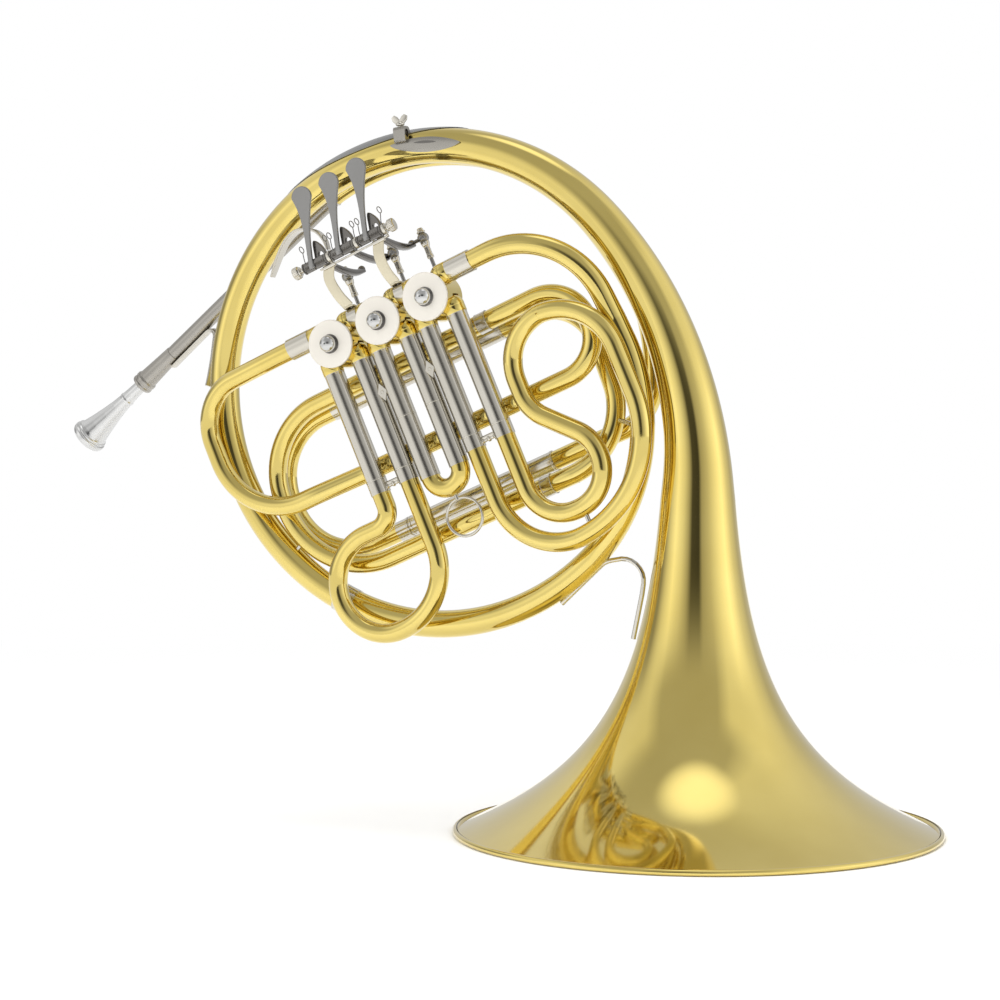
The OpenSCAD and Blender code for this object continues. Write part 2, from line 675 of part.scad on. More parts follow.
// A curved strip between the points a and b of the u-v plane, bulging towards -u
module strap(a, b, bulge, w, t) {
    half = norm(b - a) / 2;
    r = (half * half + bulge * bulge) / (2 * bulge);
    d = (a - b) / (2 * half);
    c = (a + b) / 2 + (r - bulge) * [d[1], -d[0]];
    mid = atan2(d[0], -d[1]);
    span = 2 * asin(half / r);
    translate([c[0], 0, c[1]]) rotate([90, 0, 0]) rotate([0, 0, mid - span / 2])
        rotate_extrude(angle = span, $fn = 96) translate([r - t, 0]) square([t, w]);
}
module lever_saddles() {
    foot_v = port + sleeve_r + 0.4;
    color(nickel) wrap() for (i = [0:1]) {
        foot_u = (i + 0.5) * pitch;
        translate([post_u[i], 0, 0]) difference() {
            translate([0, saddle_y[0], post_v[0]])
                cube([post_t, saddle_y[1] - saddle_y[0], post_v[1] - post_v[0]]);
            translate([-1, hinge_y, hinge_v]) along_u() cylinder(r = hinge_r, h = post_t + 2);
            translate([-1, saddle_y[1] - 6, post_v[1] - 7]) cube([post_t + 2, 8, 9]);
        }
        translate([0, saddle_y[1], 0])
            strap([post_u[i] + 0.1, post_v[0] + 1], [foot_u, foot_v + 0.5], strap_bulge,
                saddle_w, saddle_t);
        translate([foot_u - 3.5, saddle_y[1] - saddle_w - 1, foot_v])
            cube([7, saddle_w + 3, saddle_t]);
    }
}

spring_wire = 0.45;
spring_r = 2.3;
spring_y = -4.6;
spring_u = -1.1;
// Beside each lever's root, the eye of its return spring on a short leg
module lever_springs() {
    color(nickel) at_hinge() for (u = lever_u) translate([u + spring_u, spring_y, 0]) {
        translate([0, 0, 2.5]) cylinder(r = spring_wire, h = 8.6, $fn = 16);
        translate([0, 0, 13.2]) rotate([90, 0, 0]) rotate_extrude($fn = 32)
            translate([spring_r, 0]) circle(r = spring_wire, $fn = 16);
    }
}

// ---- Fittings --------------------------------------------------------------

hook_r = 27;
hook_w = 9;
module finger_hook() {
    color(nickel) translate([-273, -4, 358]) rotate([90, 0, 0])
        rotate([0, 0, 12]) rotate_extrude(angle = 162, $fn = 64)
        translate([hook_r - 0.9, 0]) square([1.8, hook_w]);
}

// A thin plate over the outside and back of the ring, where the hand holds it
guard_in = 12.6;
guard_t = 0.6;
module hand_guard() {
    color(nickel) translate([ring_x, 0, ring_z]) rotate([90, 0, 0])
        rotate([0, 0, 86]) rotate_extrude(angle = 52, $fn = 96) translate([ring_r, 0])
        intersection() {
            difference() {
                circle(r = guard_in + guard_t);
                circle(r = guard_in);
            }
            polygon([[0, 0], [40, 18], [40, -60], [-14, -40]]);
        }
}

// A pointed leaf on the front of the ring, with the clamp block for a lyre at its end
lyre_ang = 96.5;
leaf_ang = 88.5;
lyre_hole = 2.75;
lyre_y = -11;
lyre_rise = 13;
leaf_len = 36;
leaf_w = 15;
leaf_t = 1.2;
module at_lyre() {
    on_ring(lyre_ang) translate([0, lyre_y, 0]) children();
}
module lyre_leaf() {
    r = (leaf_len * leaf_len + leaf_w * leaf_w) / (4 * leaf_w);
    intersection_for(s = [-1, 1]) translate([s * (r - leaf_w / 2), leaf_len / 2])
        circle(r = r, $fn = 96);
}
module lyre_holder() {
    color(nickel) at_lyre() difference() {
        union() {
            rotate([0, lyre_ang - leaf_ang, 0]) translate([-1, -1.5, 0]) rotate([90, 0, 0])
                linear_extrude(height = leaf_t) translate([0, -leaf_len - 4]) lyre_leaf();
            translate([2, -4, -4.5]) cube([lyre_rise - 2, 8.5, 9]);
        }
        translate([8.5, -0.5, -6]) cylinder(r = lyre_hole, h = 12);
        translate([9, -0.5, 0]) along_u() cylinder(r = 1.6, h = 12);
    }
}
module lyre_screw() {
    color(nickel) at_lyre() translate([0, -0.5, 0]) along_u() {
        translate([0, 0, 11.5]) cylinder(r = 1.5, h = 7);
        translate([0, 0, 18]) cylinder(r = 3.6, h = 2.4);
        translate([-4.5, -1, 20]) cube([9, 2, 4]);
    }
}

// A bent wire between the lower branch and the bell
brace_path = route([[-92, 0, 142], [-62, 0, 170, 14], [-51, 0, 172], [-34, 0, 173, 14],
    [-37, 0, 150, 40], [-43, 0, 121]]);
module bell_brace() {
    color(nickel) {
        tube(brace_path, [for (q = brace_path) 1.6], [for (q = brace_path) 1]);
    }
}

stays = [[[-287, -2, 168], [-278, -3, 178]], [[-42, -8, 258], [-58, 3, 262]]];
module coil_stays() {
    color(nickel) for (s = stays) let (d = s[1] - s[0]) translate(s[0])
        rotate([0, acos(d[2] / norm(d)), atan2(d[1], d[0])]) cylinder(r = 1.5, h = norm(d));
}

bell_flare();
bell_rim_wire();
bell_tail();
bell_tail_ferrule();
lower_branch();
outlet_ferrule();
inlet_ferrule();
inlet_loop();
coil_bow();
coil_ferrules();
coil_return();
tuning_sleeves();
leadpipe();
receiver();
receiver_brace();
casing(1);  // valve_casing_1
casing(2);  // valve_casing_2
casing(3);  // valve_casing_3
cap(1);  // valve_cap_1
cap(2);  // valve_cap_2
cap(3);  // valve_cap_3
bearing_plates();
link_ferrules();
slide_sleeves(1);  // slide_sleeves_1
slide_sleeves(2);  // slide_sleeves_2
slide_sleeves(3);  // slide_sleeves_3
stop_plates();
stop_bumpers();
lever_saddles();
hinge_rod();
lever_springs();
finger_hook();
hand_guard();
lyre_holder();
bell_brace();
coil_stays();
rotor(1);  // rotor_1
rotor(2);  // rotor_2
rotor(3);  // rotor_3
stop_arm(1);  // stop_arm_1
stop_arm(2);  // stop_arm_2
stop_arm(3);  // stop_arm_3
lever(1);  // lever_1
lever(2);  // lever_2
lever(3);  // lever_3
link_rod(1);  // link_rod_1
link_rod(2);  // link_rod_2
link_rod(3);  // link_rod_3
slide_legs(1);  // slide_legs_1
slide_legs(2);  // slide_legs_2
slide_legs(3);  // slide_legs_3
crook(1);  // crook_1
crook(2);  // crook_2
crook(3);  // crook_3
crook_3_stay();
pull_ring();
tuning_legs();
tuning_bow();
mouthpiece();
lyre_screw();
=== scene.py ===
import json
import math

import bmesh
import bpy
import numpy as np
from mathutils import Matrix, Vector

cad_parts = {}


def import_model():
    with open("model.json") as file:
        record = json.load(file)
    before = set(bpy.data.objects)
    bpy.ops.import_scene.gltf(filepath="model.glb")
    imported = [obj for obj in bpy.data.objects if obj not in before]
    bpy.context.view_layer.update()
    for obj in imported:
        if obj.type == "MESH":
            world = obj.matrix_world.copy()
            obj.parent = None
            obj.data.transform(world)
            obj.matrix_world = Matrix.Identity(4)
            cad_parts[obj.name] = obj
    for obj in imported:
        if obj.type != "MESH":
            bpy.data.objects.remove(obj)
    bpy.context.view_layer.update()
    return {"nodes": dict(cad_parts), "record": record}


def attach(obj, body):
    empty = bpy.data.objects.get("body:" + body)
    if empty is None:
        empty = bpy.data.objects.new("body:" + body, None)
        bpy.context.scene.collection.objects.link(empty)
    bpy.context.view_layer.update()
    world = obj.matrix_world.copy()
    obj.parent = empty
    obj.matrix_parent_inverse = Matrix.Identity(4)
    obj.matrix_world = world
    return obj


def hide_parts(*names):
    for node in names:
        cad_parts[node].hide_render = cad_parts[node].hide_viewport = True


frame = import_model()

# ---- Dimensions repeated from part.scad, in millimetres -----------------------------------------------
MM = 0.001
# The valves' own frame is tilted: u runs along their row, y to the rear and v up their slides
TILT = math.radians(23.5)
VALVE = np.array([-239.5, 0.0, 310.0])
PITCH, PORT, PORT_Y, CASING_FRONT = 37.0, 11.0, -25.0, -36.5
# The wrap: its layers in depth, the radii of its tubing, and the heights of its runs
FRONT_Y, BACK_Y, LOOP_Y, RETURN_Y = -4.0, 17.0, -17.5, -11.0
SLIDE_R, SLEEVE_R, WALL = 6.35, 6.85, 0.4
UPPER_V, RETURN_V, LOWER_V, BACK_UPPER_V, BACK_LOWER_V = -25.0, -83.0, -140.0, -30.0, -124.0
SLEEVE_TOP, SLEEVE_END, COLLAR_END = -16.0, (-93.0, -63.0, -93.0), (-102.0, -106.0, -102.0)
END_GAP, TUNING_END, COIL_U, INLET_U = 0.3, 95.0, 88.0, -34.0
TUNING_START, TUNING_COLLAR = (-30.0, -17.0), 10.0
# The ring and the tail of the bell
RING_R, TAIL_R, TAIL_ANG, RING_Z, TAPER = 157.0, 250.0, 43.0, 283.0, 270.0
RING_X = (TAIL_R - RING_R) * math.cos(math.radians(TAIL_ANG)) - TAIL_R
TAIL_Z = RING_Z - (TAIL_R - RING_R) * math.sin(math.radians(TAIL_ANG))
RING = np.array([RING_X, 0.0, RING_Z])
FERRULE_ANG, FERRULE_HALF, RING_END_R = 246.0, 2.4, 8.3
BRANCH_R, BRANCH_ANG, BRANCH_U, BRANCH_Y = 124.6, -45.0, 178.0, -10.5
OUTLET_U = 2 * PITCH + 34
# The bell's flare and its rolled edge
BELL_EDGE_R, BELL_THROAT_R, FLARE_LEN, FLARE_POW, BELL_H = 156.5, 15.8, 334.0, 5.9, 210.0
BELL_WALL, TAIL_WALL = 0.7, 0.5
BEAD_R, BEAD_Z, BELL_EDGE_Z = 2.0, 1.7, 1.5
# Leadpipe, receiver and mouthpiece
LEAD_ANG, LEAD_Y, LEAD_RING, LEAD_INNER, LEAD_TURN, LEAD_START_R = 40.0, 20.0, 152.0, 147.0, 108.0, 5.3
RECEIVER_IN, RECEIVER_LEN, SEAT = 179.0, 34.0, 25.0
# Levers and link rods
HINGE_Y, HINGE_V, ARM_LEN, ARM_DROP, PIN_OFF = -38.0, 52.0, 52.0, 4.0, 6.5
LEVER_U, BARREL_LEN, ARM_U = (2.0, 23.5, 45.0), 19.0, (18.0, 37.5, 58.5)
BALL_U = (PIN_OFF, PITCH + PIN_OFF, 2 * PITCH - PIN_OFF)
ROD_DROP = HINGE_V - ARM_DROP - PIN_OFF

U = np.array([math.cos(TILT), 0.0, math.sin(TILT)])
Y = np.array([0.0, 1.0, 0.0])
V = np.array([-math.sin(TILT), 0.0, math.cos(TILT)])


def world(p):
    """A point of the tilted frame (u, y, v) in the horn's frame."""
    return VALVE + p[0] * U + p[1] * Y + p[2] * V


def tilted(p):
    """A point of the horn's frame in the tilted frame."""
    d = np.array(p, float) - VALVE
    return np.array([d @ U, p[1], d @ V])


def unit(v):
    return v / np.linalg.norm(v)


# ---- Paths ----------------------------------------------------------------------------------------------
CORNER_STEP = 4.0


def arc(c, r, a0, a1, y0, y1, n):
    """Points round an arc in the X-Z plane, its depth going from y0 to y1."""
    out = []
    for i in range(n + 1):
        a = math.radians(a0 + (a1 - a0) * i / n)
        out.append(np.array([c[0] + r * math.cos(a), y0 + (y1 - y0) * i / n, c[1] + r * math.sin(a)]))
    return out


def corner(a, b, c, r):
    """The corner b of a route from a to c, rounded to radius r."""
    d1, d2 = unit(a - b), unit(c - b)
    turn = math.pi - math.acos(max(-1.0, min(1.0, d1 @ d2)))
    m = b + unit(d1 + d2) * r / math.cos(turn / 2)
    s = b + d1 * r * math.tan(turn / 2) - m
    e = b + d2 * r * math.tan(turn / 2) - m
    n = max(3, math.ceil(math.degrees(turn) / CORNER_STEP))
    return [m + (s * math.sin(turn * (n - i) / n) + e * math.sin(turn * i / n)) / math.sin(turn)
            for i in range(n + 1)]


def route(corners):
    """Points along straight runs; a corner given as (x, y, z, r) is rounded to r."""
    out = []
    for i, c in enumerate(corners):
        p = np.array(c[:3], float)
        if len(c) < 4:
            out.append(p)
        else:
            out += corner(np.array(corners[i - 1][:3], float), p, np.array(corners[i + 1][:3], float), c[3])
    return out


def smooth_path(points, step=2.0):
    """A Catmull-Rom curve through the points, in steps of about step millimetres."""
    p = [np.array(q, float) for q in points]
    p = [2 * p[0] - p[1]] + p + [2 * p[-1] - p[-2]]
    out = []
    for i in range(1, len(p) - 2):
        n = max(2, int(np.linalg.norm(p[i + 1] - p[i]) / step))
        for k in range(n):
            t = k / n
            out.append(0.5 * (2 * p[i] + (p[i + 1] - p[i - 1]) * t
                              + (2 * p[i - 1] - 5 * p[i] + 4 * p[i + 1] - p[i + 2]) * t * t
                              + (3 * p[i] - p[i - 1] - 3 * p[i + 1] + p[i + 2]) * t ** 3))
    out.append(p[-2])
    return out


def travel(p):
    """Distance travelled at each point of a path."""
    return [0.0] + list(np.cumsum([np.linalg.norm(p[i] - p[i - 1]) for i in range(1, len(p))]))


def frames(p, n0):
    """Direction and two normals at each point, carried along the path without twist."""
    t = [unit(p[min(i + 1, len(p) - 1)] - p[max(i - 1, 0)]) for i in range(len(p))]
    out, n = [], np.array(n0, float)
    for d in t:
        n = unit(n - (n @ d) * d)
        out.append((d, n, np.cross(d, n)))
    return out


# ---- Mesh building --------------------------------------------------------------------------------------
MATS, SLOT_OF = {}, {}


def add(name, verts, faces, body, mats, replaces=(), face_mat=None, matrix=None, sharp=32.0):
    """A piece in metres from points in millimetres, shaded smooth apart from its sharp edges."""
    me = bpy.data.meshes.new(name)
    me.from_pydata([tuple(float(c) * MM for c in v) for v in verts], [], faces)
    mats = [mats] if isinstance(mats, str) else mats
    for m in mats:
        me.materials.append(MATS[m])
    if face_mat is not None:
        for poly, k in zip(me.polygons, face_mat):
            poly.material_index = k
    bm = bmesh.new()
    bm.from_mesh(me)
    bmesh.ops.remove_doubles(bm, verts=bm.verts, dist=1e-7)
    bmesh.ops.dissolve_degenerate(bm, edges=bm.edges, dist=1e-8)
    loose = [e for e in bm.edges if not e.link_faces]
    bmesh.ops.delete(bm, geom=loose, context="EDGES")
    bmesh.ops.recalc_face_normals(bm, faces=bm.faces)
    for f in bm.faces:
        f.smooth = len(f.verts) <= 4
    limit = math.radians(sharp)
    for e in bm.edges:
        e.smooth = len(e.link_faces) != 2 or e.calc_face_angle(0.0) < limit
    bm.to_mesh(me)
    bm.free()
    o = bpy.data.objects.new(name, me)
    bpy.context.scene.collection.objects.link(o)
    if matrix is not None:
        o.matrix_world = matrix
    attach(o, body)
    if replaces:
        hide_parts(*replaces)


def loft(rings, loop=False):
    """Vertices and faces through rings of the same number of points."""
    n, k = len(rings[0]), len(rings)
    verts = [p for r in rings for p in r]
    faces = []
    for i in range(k if loop else k - 1):
        a, b = i * n, ((i + 1) % k) * n
        faces += [(a + j, b + j, b + (j + 1) % n, a + (j + 1) % n) for j in range(n)]
    if not loop:
        faces += [tuple(range(n))[::-1], tuple(range((k - 1) * n, k * n))]
    return verts, faces


def circle_rings(p, radii, sides, n0=Y):
    angles = [2 * math.pi * j / sides for j in range(sides)]
    return [[q + r * (n * math.cos(a) + b * math.sin(a)) for a in angles]
            for q, r, (_, n, b) in zip(p, radii, frames(p, n0))]


def tube(name, p, body, mats="brass", r=SLIDE_R, wall=WALL, sides=40, split=None, replaces=()):
    """A hollow tube along the points; past the distance split it has the second material."""
    radii = r if isinstance(r, list) else [r] * len(p)
    outer = circle_rings(p, radii, sides)
    inner = circle_rings(p, [q - wall for q in radii], sides)
    verts, faces = loft(outer + inner[::-1], loop=True)
    face_mat = None
    if split is not None:
        rows = [0 if s < split else 1 for s in travel(p)]
        rows += rows[::-1]
        face_mat = [rows[i // sides] for i in range(len(faces))]
    add(name, verts, faces, body, mats, replaces, face_mat)


def basis(origin, z, x=None):
    """Matrix with local +Z along z at a point in millimetres."""
    z = unit(np.array(z, float))
    x = np.array(x if x is not None else ((0, 1, 0) if abs(z[1]) < 0.9 else (1, 0, 0)), float)
    x = unit(x - (x @ z) * z)
    y = np.cross(z, x)
    m = Matrix.Identity(4)
    for i in range(3):
        m[i][0], m[i][1], m[i][2], m[i][3] = x[i], y[i], z[i], origin[i] * MM
    return m


def round_corners(profile, r, n=4):
    """A closed profile with each corner of it rounded to at most r."""
    out, k = [], len(profile)
    for i in range(k):
        a, b, c = (np.array(profile[j % k], float) for j in (i - 1, i, i + 1))
        if abs(b[0]) < 1e-6:
            out.append(tuple(b))
            continue
        la, lc = np.linalg.norm(a - b), np.linalg.norm(c - b)
        cut = min(r, la * 0.45, lc * 0.45)
        s, e = b + (a - b) / la * cut, b + (c - b) / lc * cut
        for j in range(n + 1):
            t = j / n
            out.append(tuple((1 - t) ** 2 * s + 2 * t * (1 - t) * b + t * t * e))
    return out


def lathe_mesh(profile, sides=96, wave=None):
    """A closed profile of (radius, height) turned about local Z."""
    rings = []
    for j in range(sides):
        a = 2 * math.pi * j / sides
        ring = []
        for r, h in profile:
            rr = r + (wave(a, r, h) if wave else 0.0)
            ring.append((rr * math.cos(a), rr * math.sin(a), h))
        rings.append(ring)
    return loft(rings, loop=True)


def lathe(name, profile, matrix, body, mat, sides, replaces, bevel):
    verts, faces = lathe_mesh(round_corners(profile, bevel), sides)
    add(name, verts, faces, body, mat, replaces, matrix=matrix)


class Joined:
    """Several small shapes in one piece."""

    def __init__(self):
        self.verts, self.faces, self.mats = [], [], []

    def put(self, mesh, matrix=None, mat=0):
        verts, faces = mesh
        if matrix is not None:
            scaled = matrix.copy()
            for i in range(3):
                scaled[i][3] /= MM
            verts = [scaled @ Vector(v) for v in verts]
        k = len(self.verts)
        self.verts += [tuple(v) for v in verts]
        self.faces += [tuple(i + k for i in f) for f in faces]
        self.mats += [mat] * len(faces)
        return self

    def make(self, name, body, mats, replaces=()):
        add(name, self.verts, self.faces, body, mats, replaces, self.mats)


def rounded_rect(w, t, r, n=3):
    """Section of a strap: width w along the first axis, thickness t along the second."""
    out = []
    for cx, cy, a0 in ((w / 2 - r, t / 2 - r, 0), (-w / 2 + r, t / 2 - r, 90),
                       (-w / 2 + r, -t / 2 + r, 180), (w / 2 - r, -t / 2 + r, 270)):
        for i in range(n + 1):
            a = math.radians(a0 + 90 * i / n)
            out.append((cx + r * math.cos(a), cy + r * math.sin(a)))
    return out


def strap_mesh(p, widths, thicks, n0):
    """A flat strap along the points; n0 is the direction of its width."""
    rings = []
    for q, w, t, (d, n, b) in zip(p, widths, thicks, frames(p, n0)):
        rings.append([q + x * n + y * b for x, y in rounded_rect(w, t, min(w, t) * 0.32)])
    return loft(rings)


def plate_mesh(outline, z0, z1, edge=0.3):
    """A flat plate with rounded edges from an outline in its plane, between two heights."""
    pts = [np.array(p, float) for p in outline]
    k = len(pts)
    area = sum(pts[i][0] * pts[(i + 1) % k][1] - pts[(i + 1) % k][0] * pts[i][1] for i in range(k))
    side = 1.0 if area > 0 else -1.0
    inward = []
    for i in range(k):
        d = unit(pts[(i + 1) % k] - pts[i - 1])
        inward.append(np.array([-d[1], d[0]]) * side)
    rings, soft = [], edge * 0.3
    for inset, z in ((edge, z0), (soft, z0 + soft), (0, z0 + edge), (0, z1 - edge),
                     (soft, z1 - soft), (edge, z1)):
        rings.append([(p[0] + q[0] * inset, p[1] + q[1] * inset, z) for p, q in zip(pts, inward)])
    return loft(rings)


def rod_mesh(a, b, r, sides=20):
    """A round rod from a to b with its two ends chamfered."""
    chamfer = 0.2
    a, b = np.array(a, float), np.array(b, float)
    d = unit(b - a)
    p = [a, a + d * chamfer, b - d * chamfer, b]
    n0 = (0, 1, 0) if abs(d[1]) < 0.9 else (1, 0, 0)
    return loft(circle_rings(p, [r - chamfer, r, r, r - chamfer], sides, n0))


def ball_mesh(c, r, sides=32):
    half = 20
    prof = [(r * math.sin(math.pi * i / half), r * math.cos(math.pi * i / half)) for i in range(half + 1)]
    n, verts, faces = len(prof), [], []
    for j in range(sides):
        turn = 2 * math.pi * j / sides
        verts += [(c[0] + q * math.cos(turn), c[1] + q * math.sin(turn), c[2] + h) for q, h in prof]
        a, b = j * n, ((j + 1) % sides) * n
        faces += [(a + i, b + i, b + i + 1, a + i + 1) for i in range(n - 1)]
    return verts, faces


def torus_mesh(big, small, sides, tube_sides):
    rings = []
    for i in range(sides):
        a = 2 * math.pi * i / sides
        ring = []
        for j in range(tube_sides):
            b = 2 * math.pi * j / tube_sides
            reach = big + small * math.cos(b)
            ring.append((reach * math.cos(a), reach * math.sin(a), small * math.sin(b)))
        rings.append(ring)
    return loft(rings, loop=True)


# ---- Materials ------------------------------------------------------------------------------------------
def shader(tree, kind, **inputs):
    """A new shader node with its input values set; an underscore in a name stands for a space."""
    node = tree.nodes.new("ShaderNode" + kind)
    for key, value in inputs.items():
        node.inputs[key.replace("_", " ")].default_value = value
    return node


def turned_rings(tree, coords, scale, fine):
    """Height of fine concentric rings about local Z, with the grain added."""
    sep = shader(tree, "SeparateXYZ")
    tree.links.new(coords.outputs["Object"], sep.inputs["Vector"])
    flat = shader(tree, "CombineXYZ")
    tree.links.new(sep.outputs["X"], flat.inputs["X"])
    tree.links.new(sep.outputs["Y"], flat.inputs["Y"])
    wave = shader(tree, "TexWave", Scale=scale, Distortion=0.4)
    wave.wave_type = "RINGS"
    wave.rings_direction = "SPHERICAL"
    tree.links.new(flat.outputs["Vector"], wave.inputs["Vector"])
    both = shader(tree, "Math")
    both.operation = "ADD"
    tree.links.new(wave.outputs["Fac"], both.inputs[0])
    tree.links.new(fine, both.inputs[1])
    return both.outputs["Value"]


def metal(name, slot, dark, light, rough, spread, bump, grain, stretch=(1, 1, 1), coat=0.0, rings=0.0,
          metallic=1.0):
    """A polished or brushed metal: slow colour drift, fine grain in gloss and height."""
    mat = bpy.data.materials.new(name)
    mat.use_nodes = True
    tree = mat.node_tree
    bsdf = tree.nodes["Principled BSDF"]
    coords = shader(tree, "TexCoord")
    slow = shader(tree, "TexNoise", Scale=18.0, Detail=3.0)
    tree.links.new(coords.outputs["Object"], slow.inputs["Vector"])
    drift = shader(tree, "ValToRGB")
    for stop, place, colour in zip(drift.color_ramp.elements, (0.35, 0.65), (dark, light)):
        stop.position = place
        stop.color = (*colour, 1)
    tree.links.new(slow.outputs["Fac"], drift.inputs["Fac"])
    tree.links.new(drift.outputs["Color"], bsdf.inputs["Base Color"])
    spaced = shader(tree, "Mapping", Scale=stretch)
    tree.links.new(coords.outputs["Object"], spaced.inputs["Vector"])
    fine = shader(tree, "TexNoise", Scale=grain, Detail=4.0)
    tree.links.new(spaced.outputs["Vector"], fine.inputs["Vector"])
    gloss = shader(tree, "MapRange", To_Min=rough - spread, To_Max=rough + spread)
    tree.links.new(fine.outputs["Fac"], gloss.inputs["Value"])
    tree.links.new(gloss.outputs["Result"], bsdf.inputs["Roughness"])
    height = turned_rings(tree, coords, rings, fine.outputs["Fac"]) if rings else fine.outputs["Fac"]
    rise = shader(tree, "Bump", Strength=bump, Distance=0.0002)
    tree.links.new(height, rise.inputs["Height"])
    tree.links.new(rise.outputs["Normal"], bsdf.inputs["Normal"])
    bsdf.inputs["Metallic"].default_value = metallic
    bsdf.inputs["Coat Weight"].default_value = coat
    bsdf.inputs["Coat Roughness"].default_value = 0.03
    MATS[name], SLOT_OF[name] = mat, slot


# Name, slot, darkest and lightest colour, roughness and its spread, bump, grain
metal("brass", "brass", (0.73, 0.57, 0.155), (0.78, 0.62, 0.185), 0.07, 0.015, 0.006, 700, coat=0.6)
metal("nickel_silver", "nickel_silver", (0.61, 0.58, 0.51), (0.66, 0.63, 0.56), 0.17, 0.03, 0.004, 900)
metal("nickel_satin", "nickel_silver", (0.38, 0.36, 0.325), (0.43, 0.41, 0.37), 0.27, 0.03, 0.006, 900)
# Nickel for the saddle straps, tinted yellow: a painted reflection of the brass around them
metal("strap_nickel_brass_reflection", "nickel_silver", (0.66, 0.60, 0.45), (0.71, 0.65, 0.49), 0.34, 0.04, 0.005, 600)
metal("guard_nickel", "nickel_silver", (0.29, 0.29, 0.285), (0.33, 0.33, 0.325), 0.27, 0.03, 0.006, 900)
metal("silver_plate", "silver_plate", (0.63, 0.63, 0.62), (0.68, 0.68, 0.67), 0.20, 0.02, 0.003, 900)
metal("cap_plate", "cap_plate", (0.84, 0.80, 0.72), (0.88, 0.84, 0.76), 0.45, 0.04, 0.03, 1200,
      rings=420, metallic=0.55)
metal("knob_chrome", "cap_plate", (0.60, 0.60, 0.59), (0.66, 0.66, 0.65), 0.09, 0.015, 0.004, 600)
metal("steel", "steel", (0.31, 0.305, 0.295), (0.34, 0.335, 0.325), 0.36, 0.05, 0.01, 1000,
      stretch=(1, 1, 0.15))
# Dark steel for the lever arms and spring eyes; the same material is painted shade on the cap knobs' neck rings
# and in the lyre leaf's slot
metal("dark_steel_and_shade", "steel", (0.15, 0.14, 0.13), (0.22, 0.21, 0.195), 0.18, 0.04, 0.02, 900)
metal("bumper", "bumper", (0.022, 0.022, 0.022), (0.04, 0.04, 0.04), 0.75, 0.1, 0.3, 1500, metallic=0.0)

# Every CAD node wears the material that has its slot's name
for part in frame["record"]["subparts"]:
    node = frame["nodes"][part["node"]]
    node.data.materials.clear()
    node.data.materials.append(MATS[part["material_slot"]])


# ---- Bell -----------------------------------------------------------------------------------------------
def bell_r(z):
    return BELL_THROAT_R + (BELL_EDGE_R - BELL_THROAT_R) * (1 + z / FLARE_LEN) ** -FLARE_POW


# The flare's two faces, in steps that shorten towards the edge
steps = 90
heights = [BELL_EDGE_Z + (BELL_H - BELL_EDGE_Z) * (i / steps) ** 1.7 for i in range(steps + 1)]
outer = [(bell_r(z), z) for z in heights]
inner = []
for i, (r, z) in enumerate(outer):
    slope = unit(np.array([2.0, bell_r(z - 1) - bell_r(z + 1)]))
    inner.append((r - BELL_WALL * slope[0], z - (0 if i == steps else BELL_WALL * slope[1])))
# The rolled bead, ground flat where the bell stands
BEAD_START, BEAD_SWEEP, BEAD_POINTS = 100, 360 * 0.93, 24
bead = []
for i in range(BEAD_POINTS + 1):
    a = math.radians(BEAD_START - BEAD_SWEEP * i / BEAD_POINTS)
    bead.append((bell_r(BELL_EDGE_Z) + BEAD_R * math.cos(a), max(0.0, BEAD_Z + BEAD_R * math.sin(a))))
verts, faces = lathe_mesh(outer[::-1] + bead + inner[2:], 256)
add("bell", verts, faces, "horn", "brass", ["bell_flare"], sharp=60)

# ---- Corpus ring and tail -------------------------------------------------------------------------------
tail_c = (RING_X + (RING_R - TAIL_R) * math.cos(math.radians(TAIL_ANG)), TAIL_Z)
tail_path = ([np.array([0, 0, BELL_H])] + arc(tail_c, TAIL_R, 0, TAIL_ANG, 0, 0, 40)
             + arc((RING_X, RING_Z), RING_R, TAIL_ANG + 2, FERRULE_ANG - FERRULE_HALF, 0, 0, 110))


def tail_radius(s):
    """Outer radius of the tail at a distance from the flare."""
    return RING_END_R + (bell_r(BELL_H) - RING_END_R) * (1 + s / TAPER) ** -2


def ring_tube_r(angle):
    """Outer radius of the tail at an angle round the ring."""
    return tail_radius(math.radians(TAIL_ANG) * TAIL_R + math.radians(angle - TAIL_ANG) * RING_R)


tail_radii = [tail_radius(s) for s in travel(tail_path)]
tube("bell_tail_tube", tail_path, "horn", r=tail_radii, wall=TAIL_WALL, sides=72, replaces=["bell_tail"])

branch_c = (RING_X + (RING_R - BRANCH_R) * math.cos(math.radians(BRANCH_ANG)),
            RING_Z + (RING_R - BRANCH_R) * math.sin(math.radians(BRANCH_ANG)))
branch_top = tilted([branch_c[0] + BRANCH_R * math.cos(TILT), BRANCH_Y,
                     branch_c[1] + BRANCH_R * math.sin(TILT)])
branch_corners = [branch_top, (BRANCH_U, BRANCH_Y - 1, -62, 30), (BRANCH_U - 2, -24, PORT, 58),
                  (OUTLET_U + 8, PORT_Y, PORT), (OUTLET_U, PORT_Y, PORT)]
branch_path = (arc((RING_X, RING_Z), RING_R, FERRULE_ANG + FERRULE_HALF, 360 + BRANCH_ANG, 0, 0, 30)
               + arc(branch_c, BRANCH_R, BRANCH_ANG + 2, math.degrees(TILT), 0, BRANCH_Y, 30)
               + [world(q) for q in route(branch_corners)[1:]])
branch_s = travel(branch_path)
joint_r = tail_radii[-1]
branch_radii = [SLIDE_R + (joint_r - SLIDE_R) * max(0.0, 1 - s / branch_s[-1]) ** 0.8 for s in branch_s]
tube("lower_branch_tube", branch_path, "horn", r=branch_radii, sides=56, replaces=["lower_branch"])

# ---- Coil and slides ------------------------------------------------------------------------------------
def wrap_tube(name, corners, body, replaces, shift=0.0):
    """A tube of the wrap from its corners in the tilted frame, moved along u by shift."""
    path = [world(p + np.array([shift, 0, 0])) for p in route(corners)]
    tube(name, path, body, replaces=replaces)


